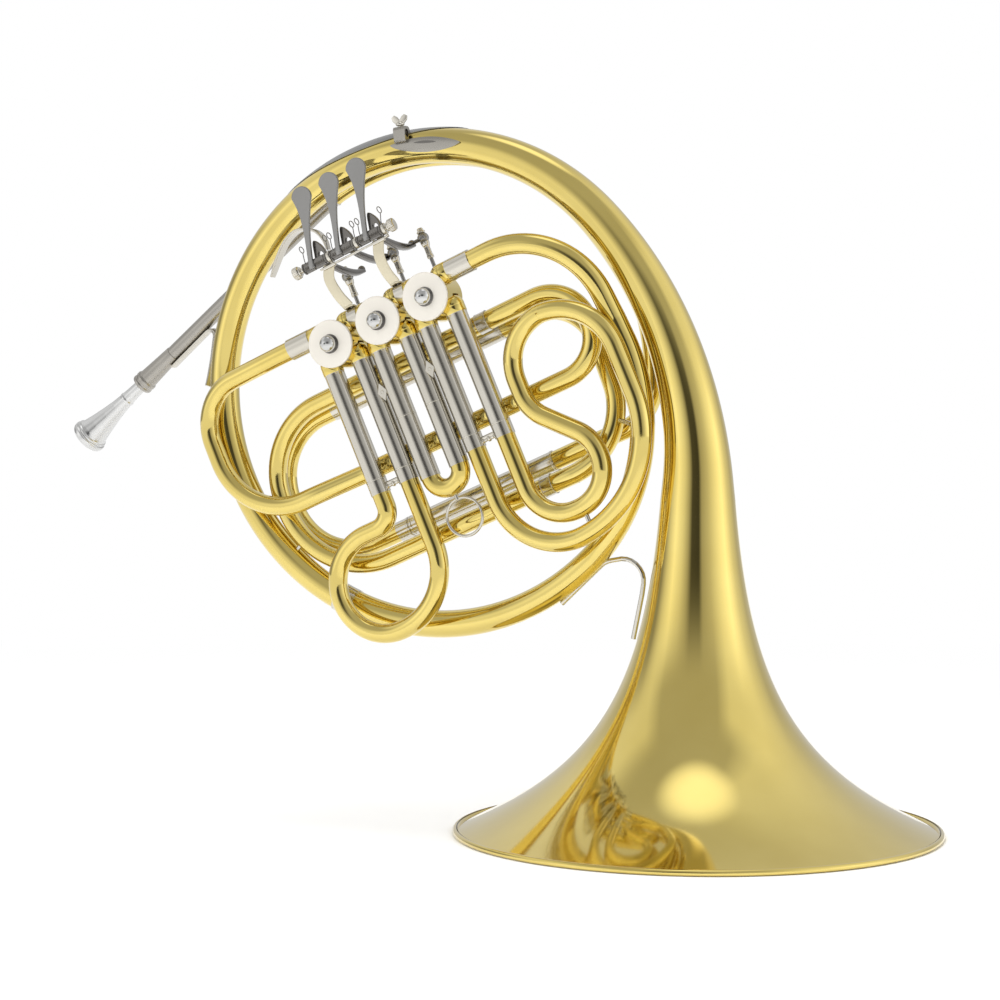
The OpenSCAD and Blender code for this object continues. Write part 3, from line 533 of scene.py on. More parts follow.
wrap_tube("inlet_loop_tube", [(INLET_U, PORT_Y, PORT), (-44, PORT_Y, PORT), (-117, LOOP_Y, PORT + 1, 33),
                              (-117, LOOP_Y, RETURN_V, 49), (-60, LOOP_Y, RETURN_V, 60),
                              (-22, RETURN_Y, RETURN_V, 60), (160, RETURN_Y, RETURN_V, 26),
                              (160, FRONT_Y, UPPER_V, 30), (COIL_U + 8, FRONT_Y, UPPER_V)],
          "horn", ["inlet_loop"])
wrap_tube("coil_bow_tube", [(COIL_U, FRONT_Y, UPPER_V), (-90, FRONT_Y, UPPER_V, 50),
                            (-90, FRONT_Y, LOWER_V, 60), (COIL_U, FRONT_Y, LOWER_V)], "horn", ["coil_bow"])
wrap_tube("coil_return_tube", [(COIL_U + 8, FRONT_Y, LOWER_V), (108, FRONT_Y, LOWER_V, 90),
                               (154, 0, LOWER_V, 45), (154, BACK_Y - 1, BACK_UPPER_V, 38),
                               (118, BACK_Y, BACK_UPPER_V, 60), (TUNING_END, BACK_Y, BACK_UPPER_V)],
          "horn", ["coil_return"])
tuning_ends = [u - END_GAP - TUNING_COLLAR for u in TUNING_START]
wrap_tube("tuning_bow_tube", [(tuning_ends[0], BACK_Y, BACK_UPPER_V), (-94, BACK_Y, BACK_UPPER_V, 44),
                              (-94, BACK_Y, BACK_LOWER_V, 46), (tuning_ends[1], BACK_Y, BACK_LOWER_V)],
          "tuning_slide", ["tuning_bow"])

# The three crooks lie in one plane, from the left leg (-PORT) to the right leg (PORT): (u, v, radius)
bow_v, bow_r = COLLAR_END[1] - PORT, PORT - 0.1
CROOKS = (((-PORT, -122, 12), (-66, -122, 34), (-66, -189, 32.9), (PORT, -189, 42)),
          ((-PORT, bow_v, bow_r), (PORT, bow_v, bow_r)),
          ((-PORT, -181, 44), (101.5, -181, 70), (101.5, -40, 40), (32, -40, 33), (32, -93, 28), (65, -126, 26),
           (65, -164, 26), (PORT, -164, 26)))
for i, bends in enumerate(CROOKS):
    corners = [(-PORT, PORT_Y, COLLAR_END[i])] + [(u, PORT_Y, v, r) for u, v, r in bends]
    corners.append((PORT, PORT_Y, COLLAR_END[i]))
    wrap_tube(f"crook_{i + 1}_tube", corners, f"valve_slide_{i + 1}", [f"crook_{i + 1}"], i * PITCH)

# ---- Leadpipe -------------------------------------------------------------------------------------------
la, lt = math.radians(LEAD_ANG), math.radians(LEAD_TURN)
LEAD = np.array([math.cos(la), 0, math.sin(la)])
UNDER_LEAD = np.array([math.sin(la), 0, -math.cos(la)])
lead_touch = np.array([RING_X - LEAD_RING * math.sin(la), LEAD_Y, RING_Z + LEAD_RING * math.cos(la)])


def on_lead(d):
    """A point on the leadpipe's straight length, d before it meets the ring."""
    return lead_touch - d * LEAD


lead_c = (RING_X + (LEAD_RING - LEAD_INNER) * math.cos(lt), RING_Z + (LEAD_RING - LEAD_INNER) * math.sin(lt))
lead_side = (lead_c[0] + LEAD_INNER, LEAD_Y, lead_c[1])
lead_path = ([on_lead((RECEIVER_IN - RECEIVER_LEN) * (1 - i / 12)) for i in range(12)]
             + arc((RING_X, RING_Z), LEAD_RING, 90 + LEAD_ANG, LEAD_TURN, LEAD_Y, LEAD_Y, 10)
             + arc(lead_c, LEAD_INNER, LEAD_TURN - 3, 0, LEAD_Y, LEAD_Y, 36)
             + route([lead_side, (lead_side[0], LEAD_Y - 1, 262, 33),
                      (*world((TUNING_END + 22, BACK_Y, BACK_LOWER_V)), 60),
                      tuple(world((TUNING_END, BACK_Y, BACK_LOWER_V)))])[1:])
lead_s = travel(lead_path)
lead_radii = [LEAD_START_R + (SLIDE_R - LEAD_START_R) * min(1, s / lead_s[-1] / 0.8) for s in lead_s]
lead_split = RECEIVER_IN - RECEIVER_LEN + 12
tube("leadpipe_tube", lead_path, "horn", ["nickel_satin", "brass"], r=lead_radii, sides=48, split=lead_split,
     replaces=["leadpipe"])

# ---- Mouthpiece and receiver ----------------------------------------------------------------------------
receiver_at = basis(on_lead(RECEIVER_IN), LEAD)
# Outline of the mouthpiece: shank, joint ring, cup, rim, then back along the bore
cup = [(3.6, SEAT - 4), (4.2, 0), (4.55, -9), (4.9, -14), (5.35, -14.6), (5.35, -15.8), (5.0, -16.4),
       (5.7, -24), (7.0, -33), (8.8, -43), (10.2, -49.5), (10.9, -51.5), (11.9, -52.2), (11.9, -53.1),
       (11.4, -53.6), (12.75, -54.4), (12.75, -56.6), (12.2, -58.0), (11.3, -58.85), (10.3, -59.0),
       (9.4, -58.4), (8.8, -57.0), (6.8, -50), (3.4, -38.4), (2.1, -33), (2.4, -16), (3.1, SEAT - 4)]
lathe("mouthpiece_turned", cup, receiver_at, "mouthpiece", "silver_plate", 128, ["mouthpiece"], 0.5)
receiver = [(4.3, 0), (7.1, 0), (7.7, 0.8), (7.7, 2.2), (7.3, 2.8), (7.3, 3.6), (7.7, 4.2), (7.7, 6.2),
            (7.2, 7.0), (6.8, 7.3), (6.0, 24.0), (5.65, RECEIVER_LEN), (3.2, RECEIVER_LEN), (3.2, SEAT),
            (3.7, SEAT)]
lathe("receiver_turned", receiver, receiver_at, "horn", "nickel_satin", 96, ["receiver"], 0.3)

# ---- Valve caps -----------------------------------------------------------------------------------------
disc = [(0, 0), (15.55, 0), (15.75, 0.25), (15.75, 1.75), (15.3, 2.2), (0, 2.2)]
# The dark ring round each knob's neck is painted shade: the shadow there, drawn as a ring of dark steel
neck_shade_ring = round_corners([(0, 1.9), (6.1, 1.9), (6.4, 2.3), (6.1, 2.8), (0, 2.8)], 0.15, 3)
dome = [(5.5 * math.cos(math.radians(q)), 5.4 + 4.8 * math.sin(math.radians(q))) for q in range(-35, 91, 7)]
for i in range(3):
    at = basis(world((i * PITCH, CASING_FRONT, 0)), -Y, U)
    lathe(f"cap_disc_{i + 1}", disc, at, "horn", "cap_plate", 128, [f"valve_cap_{i + 1}"], 0.12)
    knob = Joined()
    # Painted shade: a dark ring under the knob, where its neck is in shadow
    knob.put(lathe_mesh(neck_shade_ring, 96), at, 1)
    knob.put(lathe_mesh([(0, 2.6), (4.2, 2.6)] + dome, 96), at, 0)
    knob.make(f"cap_knob_{i + 1}", "horn", ["knob_chrome", "dark_steel_and_shade"])

# ---- Port knuckles on the casings -----------------------------------------------------------------------
KNUCKLE_R, KNUCKLE_SIDES, INSIDE_R = 7.25, 40, 14.7
LONG_PORT, SHORT_PORT = 5.6, 3.8


def port_knuckle(i, su, sv):
    """The rounded elbow where a tube leaves a casing, pressed out of the inside of the casing."""
    start = world((i * PITCH + su * PORT, PORT_Y, sv * PORT))
    axis = world((i * PITCH, 0, 0))
    way = su * U if sv > 0 else -V
    at_end = (i == 0 and su < 0) or (i == 2 and su > 0)
    length = LONG_PORT if sv < 0 or at_end else SHORT_PORT
    turn = basis(start, way).to_3x3()
    verts, faces = ball_mesh((0, 0, 0), KNUCKLE_R, KNUCKLE_SIDES)
    moved = []
    for x, y, z in verts:
        z = z * (length - 0.6) / KNUCKLE_R if z > 0 else z
        q = start + np.array(turn @ Vector((x, y, z)))
        du, dv = (q - axis) @ U, (q - axis) @ V
        off = math.hypot(du, dv)
        if off < INSIDE_R:
            q = q + (INSIDE_R / max(off, 0.1) - 1) * (du * U + dv * V)
        moved.append(q)
    knuckles.put((moved, faces))
    neck = [start + way * d for d in (1.0, length - 0.5, length)]
    knuckles.put(loft(circle_rings(neck, [7.2, 7.2, 6.9], KNUCKLE_SIDES)))


knuckles = Joined()
for i in range(3):
    for su in (-1, 1):
        for sv in (-1, 1):
            port_knuckle(i, su, sv)
knuckles.make("port_knuckles", "horn", ["brass"])

# ---- Rings at tube joints -------------------------------------------------------------------------------
def band(r, w, h):
    """A raised ring round a tube of radius r, w long and h high, centred on local zero."""
    foot, shoulder, flank = r - 0.6, r + h * 0.35, w * 0.25
    prof = [(foot, -w / 2), (shoulder, -w / 2), (r + h, -w / 2 + flank), (r + h, w / 2 - flank),
            (shoulder, w / 2), (foot, w / 2)]
    return lathe_mesh(round_corners(prof, 0.15, 3), 72)


bands, slide_bands = Joined(), Joined()
for u in (COIL_U + 0.4, COIL_U + 7.6):
    for v in (UPPER_V, LOWER_V):
        bands.put(band(SLEEVE_R, 0.8, 0.2), basis(world((u, FRONT_Y, v)), U))
for i, v in enumerate((BACK_UPPER_V, BACK_LOWER_V)):
    for u in (TUNING_START[i] + 1.1, TUNING_END - 1.0):
        bands.put(band(SLEEVE_R, 1.8, 0.3), basis(world((u, BACK_Y, v)), U))
    slide_bands.put(band(SLEEVE_R, 1.8, 0.3), basis(world((TUNING_START[i] - END_GAP - 1.1, BACK_Y, v)), U))
lead_joint = next(p for p, d in zip(lead_path, lead_s) if d >= lead_split)
bands.put(band(6.0, 1.4, 0.25), basis(lead_joint, LEAD))
for i in range(3):
    for su in (-1, 1):
        for v in (SLEEVE_TOP - 0.4, SLEEVE_END[i] + 0.5):
            bands.put(band(SLEEVE_R, 0.9, 0.12), basis(world((i * PITCH + su * PORT, PORT_Y, v)), V))
bands.make("joint_bands", "horn", ["nickel_silver"])
slide_bands.make("tuning_bands", "tuning_slide", ["nickel_silver"])

# ---- Levers ---------------------------------------------------------------------------------------------
def hinge(u, y, v):
    """A point given from the hinge axis, in the tilted frame."""
    return world((u, HINGE_Y + y, HINGE_V + v))


def upright(origin):
    """Matrix of a plate that faces forward: local X along u, Y along v and Z to the front."""
    m = Matrix.Identity(4)
    for row in range(3):
        m[row][0], m[row][1], m[row][2], m[row][3] = U[row], V[row], -Y[row], origin[row] * MM
    return m


def touch_outline():
    """The spatula in the hinge plane, from its root: round head, waisted more on its left than its right."""
    head, head_r, root_half = np.array([11.3, 43.0]), 7.3, 1.7
    d = unit(head)
    n = np.array([d[1], -d[0]])
    length = np.linalg.norm(head)
    left, right = [], []
    for i in range(25):
        s = -0.5 + (length + 0.5) * i / 24
        t = max(0.0, s / length)
        left.append(d * s - n * (root_half + (head_r - root_half) * t ** 4.0))
        right.append(d * s + n * (root_half + (head_r - root_half) * t ** 2.4))
    turns = [math.pi * i / 18 for i in range(1, 18)]
    cap = [head + head_r * (n * math.cos(a) + d * math.sin(a)) for a in turns]
    return right + cap + left[::-1]


def knurl(a, r, h):
    return 0.16 * math.cos(28 * a) if r > 3.35 else 0.0


# The barrel: two knurled lengths between plain collars
barrel = [(1.6, 0), (3.2, 0), (3.6, 0.35), (3.6, 1.1), (3.05, 1.3), (3.05, 1.7), (3.45, 1.9), (3.45, 8.4),
          (3.05, 8.6), (3.05, 9.2), (3.45, 9.4), (3.45, 16.9), (3.05, 17.2), (3.05, 17.6), (3.6, 17.8),
          (3.6, 18.65), (3.2, BARREL_LEN), (1.6, BARREL_LEN)]
# The hooked lug beside the touchpiece, and the foot of the touchpiece, from its root
lug_points = [(2.0, 0.5), (3.4, 7), (4.6, 12.4), (6.0, 14.6), (7.8, 13.4), (10.2, 9.6), (11.4, 5.4), (11.2, 1.0),
              (9.8, 1.0), (9.6, 4.6), (8.0, 6.6), (6.4, 5.6), (5.8, 0.8)]
foot_points = [(-2.0, -2.4), (2.2, -2.4), (2.4, 3.0), (-1.6, 3.0)]
# The curved arm to the rear, as (y, v) from the hinge axis
arm_points = [(1.5, -1.8), (12, -4.6), (26, -6.8), (40, -7.2), (ARM_LEN + 1, -ARM_DROP - 1.2)]
for i in range(3):
    root = LEVER_U[i] + 7.5
    lever = Joined()
    front = upright(hinge(0, 0, 0))
    lever.put(plate_mesh([(p[0] + root, p[1]) for p in touch_outline()], 2.6, 4.3, 0.45), front)
    lever.put(plate_mesh([(u + root, v) for u, v in foot_points], 1.8, 4.1, 0.4), front)
    lever.put(lathe_mesh(barrel, 168, knurl), basis(hinge(LEVER_U[i], 0, 0), U), 1)
    lug = smooth_path([(u + root, v, 0) for u, v in lug_points], 1.2)
    lever.put(plate_mesh([(p[0], p[1]) for p in lug], -2.6, 0.4, 0.4), front, 1)
    arm = smooth_path([hinge(ARM_U[i], y, v) for y, v in arm_points])
    last = len(arm) - 1
    thick = [3.0 + 1.6 * math.sin(math.pi * k / last) ** 0.7 for k in range(last + 1)]
    lever.put(strap_mesh(arm, [4.2] * len(arm), thick, U), None, 1)
    arm_end, pin_end = hinge(ARM_U[i], ARM_LEN, -ARM_DROP), hinge(BALL_U[i], ARM_LEN, -ARM_DROP)
    lever.put(ball_mesh(arm_end, 2.5, 28), None, 1)
    lever.put(rod_mesh(arm_end, pin_end, 1.3), None, 1)
    lever.put(ball_mesh(pin_end, 2.6, 28), None, 1)
    lever.make(f"lever_{i + 1}_arm", f"lever_{i + 1}", ["steel", "dark_steel_and_shade"], [f"lever_{i + 1}"])

# Hinge rod with a fluted head at each end and collars beside the barrels
COLLAR_U = (22.25, 43.75, 65.4)
head = round_corners([(0, 0), (3.1, 0), (3.1, 0.9), (3.9, 1.2), (4.2, 1.6), (4.2, 4.6), (3.9, 5.1), (3.0, 5.4),
                      (0, 5.4)], 0.15, 3)
collar = round_corners([(1.4, -1.15), (3.5, -1.15), (3.8, -0.8), (3.8, 0.8), (3.5, 1.15), (1.4, 1.15)], 0.15, 3)


def flute(a, r, h):
    return 0.12 * math.cos(24 * a) if r > 4 else 0.0


rod = Joined()
rod.put(rod_mesh(hinge(-5, 0, 0), hinge(72.5, 0, 0), 1.5, 24))
for u, d in ((-0.5, -U), (68.0, U)):
    rod.put(lathe_mesh(head, 96, flute), basis(hinge(u, 0, 0), d))
for u in COLLAR_U:
    rod.put(lathe_mesh(collar, 64), basis(hinge(u, 0, 0), U))
rod.make("hinge_rod_turned", "horn", ["nickel_silver"], ["hinge_rod"])

# Spring eyes: a loop of wire on a leg at each side of every touchpiece's root
EYE_V, EYE_R, WIRE_R = 11.4, 2.15, 0.3
SPRINGS = ((6.6, 7.6), (24.9, 26.0), (28.3, 29.4), (46.0, 47.2), (50.0, 51.2), (66.9, 68.8))
springs = Joined()
for u_leg, u_eye in SPRINGS:
    leg = smooth_path([hinge(u_leg, -4.4, 1.5), hinge(u_leg, -4.6, 4.0), hinge(u_eye, -4.8, EYE_V - EYE_R)], 1.5)
    springs.put(loft(circle_rings(leg, [WIRE_R] * len(leg), 12)))
    springs.put(torus_mesh(EYE_R, WIRE_R, 40, 12), basis(hinge(u_eye, -4.8, EYE_V), unit(U - 0.2 * Y), V))
springs.make("spring_eyes", "horn", ["dark_steel_and_shade"], ["lever_springs"])

# Saddles: two flat curved straps from the link ferrules up to a bar that carries the hinge posts
STRAPS = (((19.6, -38.0, 46.9), (15.6, -36.4, 39.0), (16.2, -33.6, 28.0), (18.8, -30.4, 18.4)),
          ((58.4, -38.0, 46.9), (54.4, -36.4, 38.0), (53.6, -33.6, 28.0), (55.4, -30.4, 18.4)))
BAR_V = -5.3
saddles = Joined()
for points in STRAPS:
    way = [world(q) for q in smooth_path(points, 1.5)]
    u_top, u_foot = points[0][0], points[-1][0]
    # The straps wear nickel with a painted reflection of the brass as a yellow tint
    saddles.put(strap_mesh(way, [7.4] * len(way), [1.3] * len(way), U))
    saddles.put(rod_mesh(world((u_top - 4.4, -38.0, 46.4)), world((u_top + 4.8, -38.0, 46.4)), 1.5), None, 1)
    foot = [world((u_foot + du, -29.4, v)) for du, v in ((-3.4, 18.0), (0, 18.6), (3.4, 18.0))]
    saddles.put(strap_mesh(foot, [5.0] * 3, [1.2] * 3, Y))
saddles.put(strap_mesh([hinge(u, 0.2, BAR_V) for u in (13, 30, 50, 66.2)], [2.6] * 4, [1.1] * 4, Y), None, 1)
for u in (COLLAR_U[0], COLLAR_U[2]):
    saddles.put(strap_mesh([hinge(u, 0.4, -5.4), hinge(u, 0.2, -3.4)], [2.0] * 2, [1.6] * 2, U), None, 1)
saddles.make("saddle_straps", "horn", ["strap_nickel_brass_reflection", "nickel_silver"], ["lever_saddles"])

# Turned ends on the link rods: a nut over the upper ball, then a sleeve under each end
rod_ends = [[(0, 3.3), (2.5, 3.3), (3.0, 3.8), (2.9, 4.6), (2.1, 5.2), (2.1, 6.4), (1.7, 7.0), (0, 7.0)],
            [(0, -14.8), (1.9, -14.8), (2.35, -14.4), (2.35, -12.6), (2.1, -12.2), (2.1, -6.6), (2.6, -5.6),
             (3.2, -3.0), (0, -3.0)],
            [(0, 3.2), (3.0, 3.2), (2.3, 5.6), (2.1, 13.6), (1.7, 14.4), (0, 14.4)]]
rod_ends[2] = [(r, h - ROD_DROP) for r, h in rod_ends[2]]
for i in range(3):
    ends = Joined()
    top = basis(world((BALL_U[i], HINGE_Y + ARM_LEN, HINGE_V - ARM_DROP)), V, U)
    for prof in rod_ends:
        ends.put(lathe_mesh(round_corners(prof, 0.25, 3), 48), top)
    ends.make(f"link_rod_{i + 1}_ends", f"link_rod_{i + 1}", ["nickel_silver"])

# ---- Fittings on the ring and leadpipe ------------------------------------------------------------------
def on_ring_skin(angle, around, lift):
    """A point over the skin of the ring: around is 0 on its outside, 90 on its front."""
    a, b = math.radians(angle), math.radians(around)
    d = np.array([math.cos(a), 0, math.sin(a)])
    return RING + RING_R * d + (ring_tube_r(angle) + lift) * (d * math.cos(b) - Y * math.sin(b))


def skin_patch(start, end, edge_a, edge_b, lift, thick, n=56, m=14):
    """A thin sheet bent over the ring between two edges given as functions of 0..1."""
    rings = []
    for i in range(n + 1):
        t = i / n
        angle = start + (end - start) * t
        a, b = edge_a(t), edge_b(t)
        row = [a + (b - a) * j / m for j in range(m + 1)]
        rings.append([on_ring_skin(angle, q, lift + thick) for q in row]
                     + [on_ring_skin(angle, q, lift) for q in row[::-1]])
    return loft(rings)


def edge(base, reach, power):
    """An edge that swells from base by up to reach between the ends of a patch."""
    return lambda t: base + reach * max(0.02, math.sin(math.pi * min(0.995, max(0.005, t)))) ** power


guard = Joined()
guard.put(skin_patch(80.5, 134, edge(-40, 99, 0.55), edge(-40, -72, 0.5), 0.12, 0.4))
guard.make("hand_guard_sheet", "horn", ["guard_nickel"], ["hand_guard"])

# Lyre holder: a leaf on the ring with a dark strip of painted shade for its slot, and a square block bored for
# the lyre
LYRE_ANG, LYRE_Y, BLOCK_HALF, LYRE_BORE_R = math.radians(96.5), -11.0, 4.1, 2.75
lyre_out = np.array([math.cos(LYRE_ANG), 0, math.sin(LYRE_ANG)])
lyre_along = np.array([-math.sin(LYRE_ANG), 0, math.cos(LYRE_ANG)])
lyre_at = RING + RING_R * lyre_out + LYRE_Y * Y
holder = Joined()
holder.put(skin_patch(99.5, 81.5, edge(80, -12, 0.8), edge(80, 34, 0.6), 0.15, 1.0))
# A thin dark sheet over the leaf: painted shade standing in for the inside of the slot
holder.put(skin_patch(93.4, 87.6, edge(84, -4, 0.6), edge(84, 4, 0.6), 1.0, 0.25, 24, 4), None, 1)
block_outer, block_bore = [], []
for x, y in rounded_rect(11, 8.5, 2.6, 7):
    a = math.atan2(y + 0.75, x - 1.0)
    block_outer.append((x + 7.5, y + 0.25))
    block_bore.append((8.5 + LYRE_BORE_R * math.cos(a), -0.5 + LYRE_BORE_R * math.sin(a)))
block = []
for outline, z in ((block_outer, -BLOCK_HALF), (block_outer, BLOCK_HALF),
                   (block_bore, BLOCK_HALF), (block_bore, -BLOCK_HALF)):
    block.append([lyre_at + x * lyre_out + y * Y + z * lyre_along for x, y in outline])
holder.put(loft(block, loop=True))
holder.make("lyre_leaf", "horn", ["nickel_satin", "dark_steel_and_shade"], ["lyre_holder"])

screw = Joined()
screw_at = lyre_at - 0.5 * Y
stem = round_corners([(0, 11.6), (1.45, 11.6), (1.45, 13.4), (2.4, 13.6), (2.9, 14.2), (2.9, 15.0), (2.2, 15.8),
                      (1.6, 16.4), (0, 16.4)], 0.2, 3)
screw.put(lathe_mesh(stem, 48), basis(screw_at, lyre_out, lyre_along))
for side in (-1, 1):
    wing = [screw_at + lyre_out * h + lyre_along * side * x
            for x, h in ((0.2, 15.6), (1.8, 16.6), (3.4, 18.4), (4.6, 20.2))]
    screw.put(strap_mesh(wing, [3.2, 4.0, 4.4, 2.6], [1.9, 1.8, 1.5, 1.2], lyre_out))
screw.make("lyre_wing_screw", "lyre_screw", ["nickel_silver"], ["lyre_screw"])


def to_ends(n, middle, change, power):
    """n values that go from middle at half way to middle + change at both ends."""
    return [middle + change * abs(2 * k / (n - 1) - 1) ** power for k in range(n)]


HOOK_Y = -8.5
hook = smooth_path([(x, HOOK_Y, z) for x, z in ((-297.5, 356.0), (-292.6, 368.6), (-287.0, 379.0),
                                                (-280.0, 385.6),
                                                (-272.8, 387.3), (-264.3, 385.6), (-258.6, 380.4),
                                                (-255.5, 373.4))], 1.5)
finger_hook = Joined()
finger_hook.put(strap_mesh(hook, to_ends(len(hook), 9.0, -3.0, 3), to_ends(len(hook), 1.7, -0.7, 4), Y))
finger_hook.make("finger_hook_strap", "horn", ["nickel_silver"], ["finger_hook"])


def under_lead(d):
    """A point just under the leadpipe's straight length."""
    return on_lead(d) + (LEAD_START_R + 1.7) * UNDER_LEAD


brace_x = RING_X - RING_R - 15
brace_top = under_lead((under_lead(0)[0] - brace_x) / math.cos(la))
brace = route([tuple(under_lead(RECEIVER_IN - RECEIVER_LEN + 6)), (brace_x, LEAD_Y - 2, brace_top[2], 6),
               (brace_x + 1, LEAD_Y / 2, RING_Z + 20, 40), (brace_x + 2, 2, RING_Z)])
fine_brace = [brace[0]]
for a, b in zip(brace, brace[1:]):
    n = max(1, int(np.linalg.norm(b - a) / 2))
    fine_brace += [a + (b - a) * k / n for k in range(1, n + 1)]
n = len(fine_brace)
brace_strap = Joined()
brace_strap.put(strap_mesh(fine_brace, to_ends(n, 5.2, 1.6, 8), to_ends(n, 2.4, -1.0, 8), Y))
brace_strap.make("receiver_brace_strap", "horn", ["nickel_silver"], ["receiver_brace"])

# Small diamond plates that tie neighbouring slide sleeves, and turned stays between a slide's own legs
TIE_V, STAY_V = -42.3, -99.0
ties = Joined()
for u in (PITCH / 2, 1.5 * PITCH):
    diamond = plate_mesh([(-3.6, 0), (0, -6.2), (3.6, 0), (0, 6.2)], 0, 1.1, 0.3)
    ties.put(diamond, upright(world((u, PORT_Y - 4.4, TIE_V))))
    ties.put(rod_mesh(world((u, PORT_Y + 1, TIE_V)), world((u, PORT_Y - 5.9, TIE_V)), 1.1))
ties.make("sleeve_ties", "horn", ["nickel_silver"])
spindle = round_corners([(0, -5.2), (2.6, -5.2), (2.4, -4.2), (1.3, -3.4), (1.2, -1.2), (2.0, -0.6), (2.0, 0.6),
                         (1.2, 1.2), (1.3, 3.4), (2.4, 4.2), (2.6, 5.2), (0, 5.2)], 0.2, 3)
for i in (0, 2):
    stay = Joined()
    stay.put(lathe_mesh(spindle, 40), basis(world((i * PITCH, PORT_Y, STAY_V)), U))
    stay.make(f"leg_stay_{i + 1}", f"valve_slide_{i + 1}", ["nickel_silver"])

# ---- Camera ---------------------------------------------------------------------------------------------
cam_data = bpy.data.cameras.new("camera")
cam = bpy.data.objects.new("camera", cam_data)
bpy.context.scene.collection.objects.link(cam)
cam_data.lens, cam_data.sensor_width = 91.0, 36.0
cam_data.clip_start, cam_data.clip_end = 0.05, 100
# The camera stands to the right of the horn's front and a little above level
cam_side, cam_above = math.radians(23), math.radians(2)
look = Vector((-math.sin(cam_side) * math.cos(cam_above), math.cos(cam_side) * math.cos(cam_above),
               -math.sin(cam_above)))
cam.location = (0.5072, -1.5139, 0.2658)
cam.rotation_mode = "QUATERNION"
cam.rotation_quaternion = look.to_track_quat("-Z", "Y")
bpy.context.scene.camera = cam
bpy.context.scene.view_settings.view_transform = "Standard"

# ---- Floor ----------------------------------------------------------------------------------------------
# Pale near the horn, fading to plain white
floor_mat = bpy.data.materials.new("pale_floor")
floor_mat.use_nodes = True
tree = floor_mat.node_tree
pale = tree.nodes["Principled BSDF"]
pale.inputs["Base Color"].default_value = (0.93, 0.93, 0.93, 1)
pale.inputs["Roughness"].default_value = 0.6
pale.inputs["Specular IOR Level"].default_value = 0.1
white = shader(tree, "Emission", Color=(1, 1, 1, 1), Strength=1.0)
coords = shader(tree, "TexCoord")
length = shader(tree, "VectorMath")
length.operation = "LENGTH"
fade = shader(tree, "MapRange", From_Min=0.3, From_Max=1.4)
fade.interpolation_type = "SMOOTHSTEP"
mix = shader(tree, "MixShader")
tree.links.new(coords.outputs["Object"], length.inputs[0])
tree.links.new(length.outputs["Value"], fade.inputs["Value"])
tree.links.new(fade.outputs["Result"], mix.inputs["Fac"])
tree.links.new(pale.outputs["BSDF"], mix.inputs[1])
tree.links.new(white.outputs["Emission"], mix.inputs[2])
tree.links.new(mix.outputs["Shader"], tree.nodes["Material Output"].inputs["Surface"])

FLOOR_R, FLOOR_SIDES = 30, 64
turns = [2 * math.pi * i / FLOOR_SIDES for i in range(FLOOR_SIDES)]
floor_mesh = bpy.data.meshes.new("floor")
floor_mesh.from_pydata([(FLOOR_R * math.cos(a), FLOOR_R * math.sin(a), 0) for a in turns], [],
                       [tuple(range(FLOOR_SIDES))])
floor_mesh.materials.append(floor_mat)
floor = bpy.data.objects.new("floor", floor_mesh)
floor.location = (-0.1, 0, -0.0003)
bpy.context.scene.collection.objects.link(floor)


# ---- Lights ---------------------------------------------------------------------------------------------
def softbox(name, centre, target, size, power):
    """A rectangular light that lights the horn and isn't seen in its reflections."""
    data = bpy.data.lights.new(name, "AREA")
    data.shape = "RECTANGLE"
    data.size, data.size_y = size
    data.energy = power
    data.spread = math.pi
    o = bpy.data.objects.new(name, data)
    o.location = centre
    o.rotation_mode = "QUATERNION"
    o.rotation_quaternion = (Vector(target) - Vector(centre)).to_track_quat("-Z", "Y")
    o.visible_glossy = False
    bpy.context.scene.collection.objects.link(o)


middle = (-0.12, 0, 0.25)
softbox("key", (-0.9, -1.9, 1.5), middle, (1.0, 1.4), 22)
softbox("fill", (1.7, -1.3, 0.9), middle, (0.5, 1.5), 8)
softbox("top", (-0.1, 0.1, 2.1), middle, (1.6, 1.6), 20)

# ---- Surroundings: plain white to the camera, panels of light and dark to reflections ---------------------
surround = bpy.data.worlds.new("studio")
bpy.context.scene.world = surround
surround.use_nodes = True
tree = surround.node_tree
tree.nodes.clear()
coords = shader(tree, "TexCoord")
sep = shader(tree, "SeparateXYZ")
tree.links.new(coords.outputs["Generated"], sep.inputs["Vector"])
back = shader(tree, "Math")
back.operation = "MULTIPLY"
back.inputs[1].default_value = -1.0
tree.links.new(sep.outputs["Y"], back.inputs[0])
turn = shader(tree, "Math")
turn.operation = "ARCTAN2"
tree.links.new(sep.outputs["X"], turn.inputs[0])
tree.links.new(back.outputs["Value"], turn.inputs[1])
around = shader(tree, "MapRange", From_Min=-math.pi, From_Max=math.pi)
tree.links.new(turn.outputs["Value"], around.inputs["Value"])


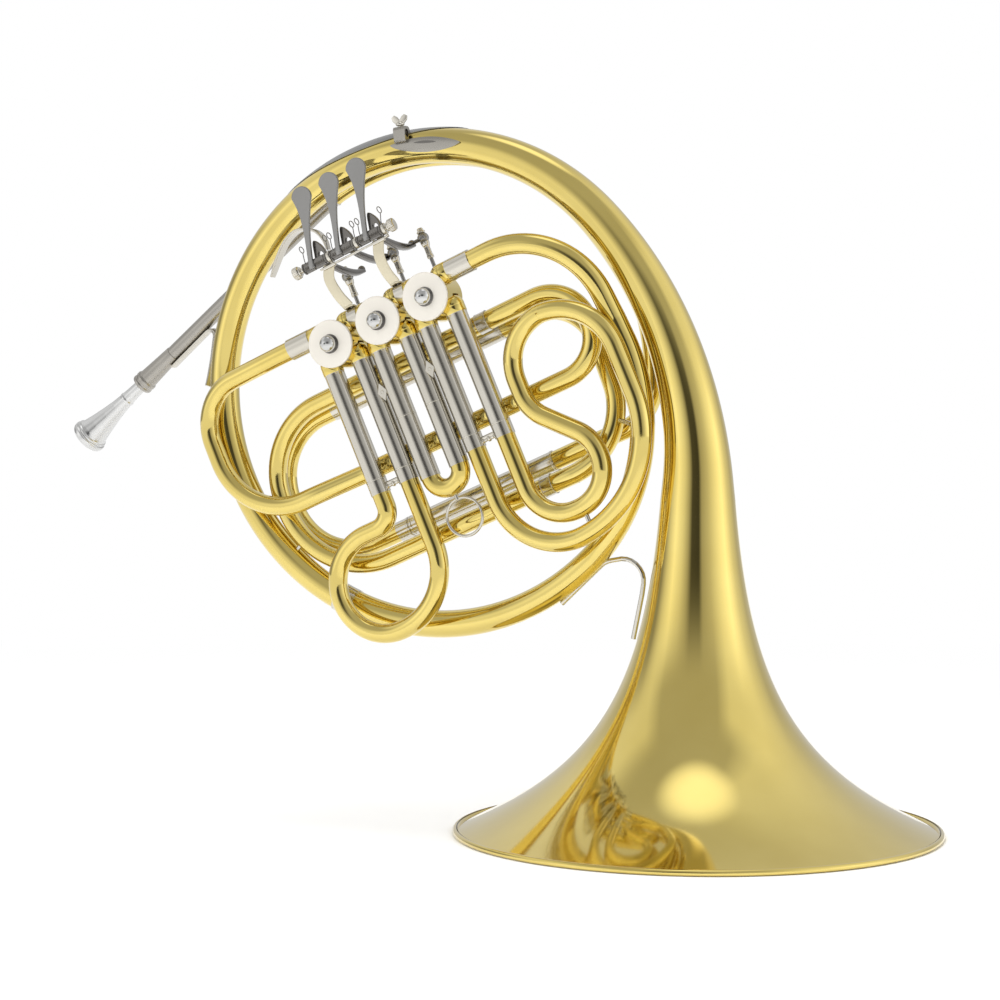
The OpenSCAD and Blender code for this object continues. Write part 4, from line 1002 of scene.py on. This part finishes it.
def panel_ring(stops):
    """Grey values around the horizon, one stop per (azimuth in degrees, value); 0 is the front."""
    node = shader(tree, "ValToRGB")
    elements = node.color_ramp.elements
    elements[0].position, elements[1].position = 0.0, 1.0
    for end, (_, grey) in zip((elements[0], elements[1]), (stops[0], stops[-1])):
        end.color = (grey, grey, grey, 1)
    for azimuth, grey in stops[1:-1]:
        elements.new((azimuth + 180) / 360).color = (grey, grey, grey, 1)
    tree.links.new(around.outputs["Result"], node.inputs["Fac"])
    return node.outputs["Color"]


def by_height(low, start, end):
    """Blend node that leaves the colour low for its other input B as the direction climbs."""
    rise = shader(tree, "MapRange", From_Min=start, From_Max=end)
    rise.interpolation_type = "SMOOTHSTEP"
    tree.links.new(sep.outputs["Z"], rise.inputs["Value"])
    blend = shader(tree, "Mix")
    blend.data_type = "RGBA"
    tree.links.new(rise.outputs["Result"], blend.inputs["Factor"])
    tree.links.new(low, blend.inputs["A"])
    return blend


walls = panel_ring([(-180, 0.60), (-130, 0.66), (-100, 0.36), (-82, 0.32), (-66, 0.85), (-46, 1.35), (-24, 0.95),
                    (-8, 0.50), (2, 0.08), (22, 0.06), (30, 0.45), (50, 0.70), (74, 1.15), (98, 1.55),
                    (124, 0.90), (150, 0.55), (180, 0.60)])
upper = panel_ring([(-180, 0.66), (-110, 0.90), (-62, 0.85), (-42, 0.52), (52, 0.52), (74, 0.92), (120, 1.0),
                    (180, 0.66)])
overhead = panel_ring([(-180, 0.62), (-130, 0.55), (-60, 0.50), (75, 0.52), (110, 0.85), (150, 0.78),
                       (180, 0.62)])
low_blend = by_height(walls, 0.20, 0.62)
tree.links.new(upper, low_blend.inputs["B"])
high_blend = by_height(low_blend.outputs["Result"], 0.72, 0.90)
tree.links.new(overhead, high_blend.inputs["B"])
lamp_blend = by_height(high_blend.outputs["Result"], 0.95, 1.0)
lamp_blend.inputs["B"].default_value = (1.5, 1.5, 1.5, 1)
lit = shader(tree, "Background", Strength=1.0)
tree.links.new(lamp_blend.outputs["Result"], lit.inputs["Color"])
plain = shader(tree, "Background", Color=(1, 1, 1, 1))
path = shader(tree, "LightPath")
either = shader(tree, "MixShader")
out = shader(tree, "OutputWorld")
tree.links.new(path.outputs["Is Camera Ray"], either.inputs["Fac"])
tree.links.new(lit.outputs["Background"], either.inputs[1])
tree.links.new(plain.outputs["Background"], either.inputs[2])
tree.links.new(either.outputs["Shader"], out.inputs["Surface"])
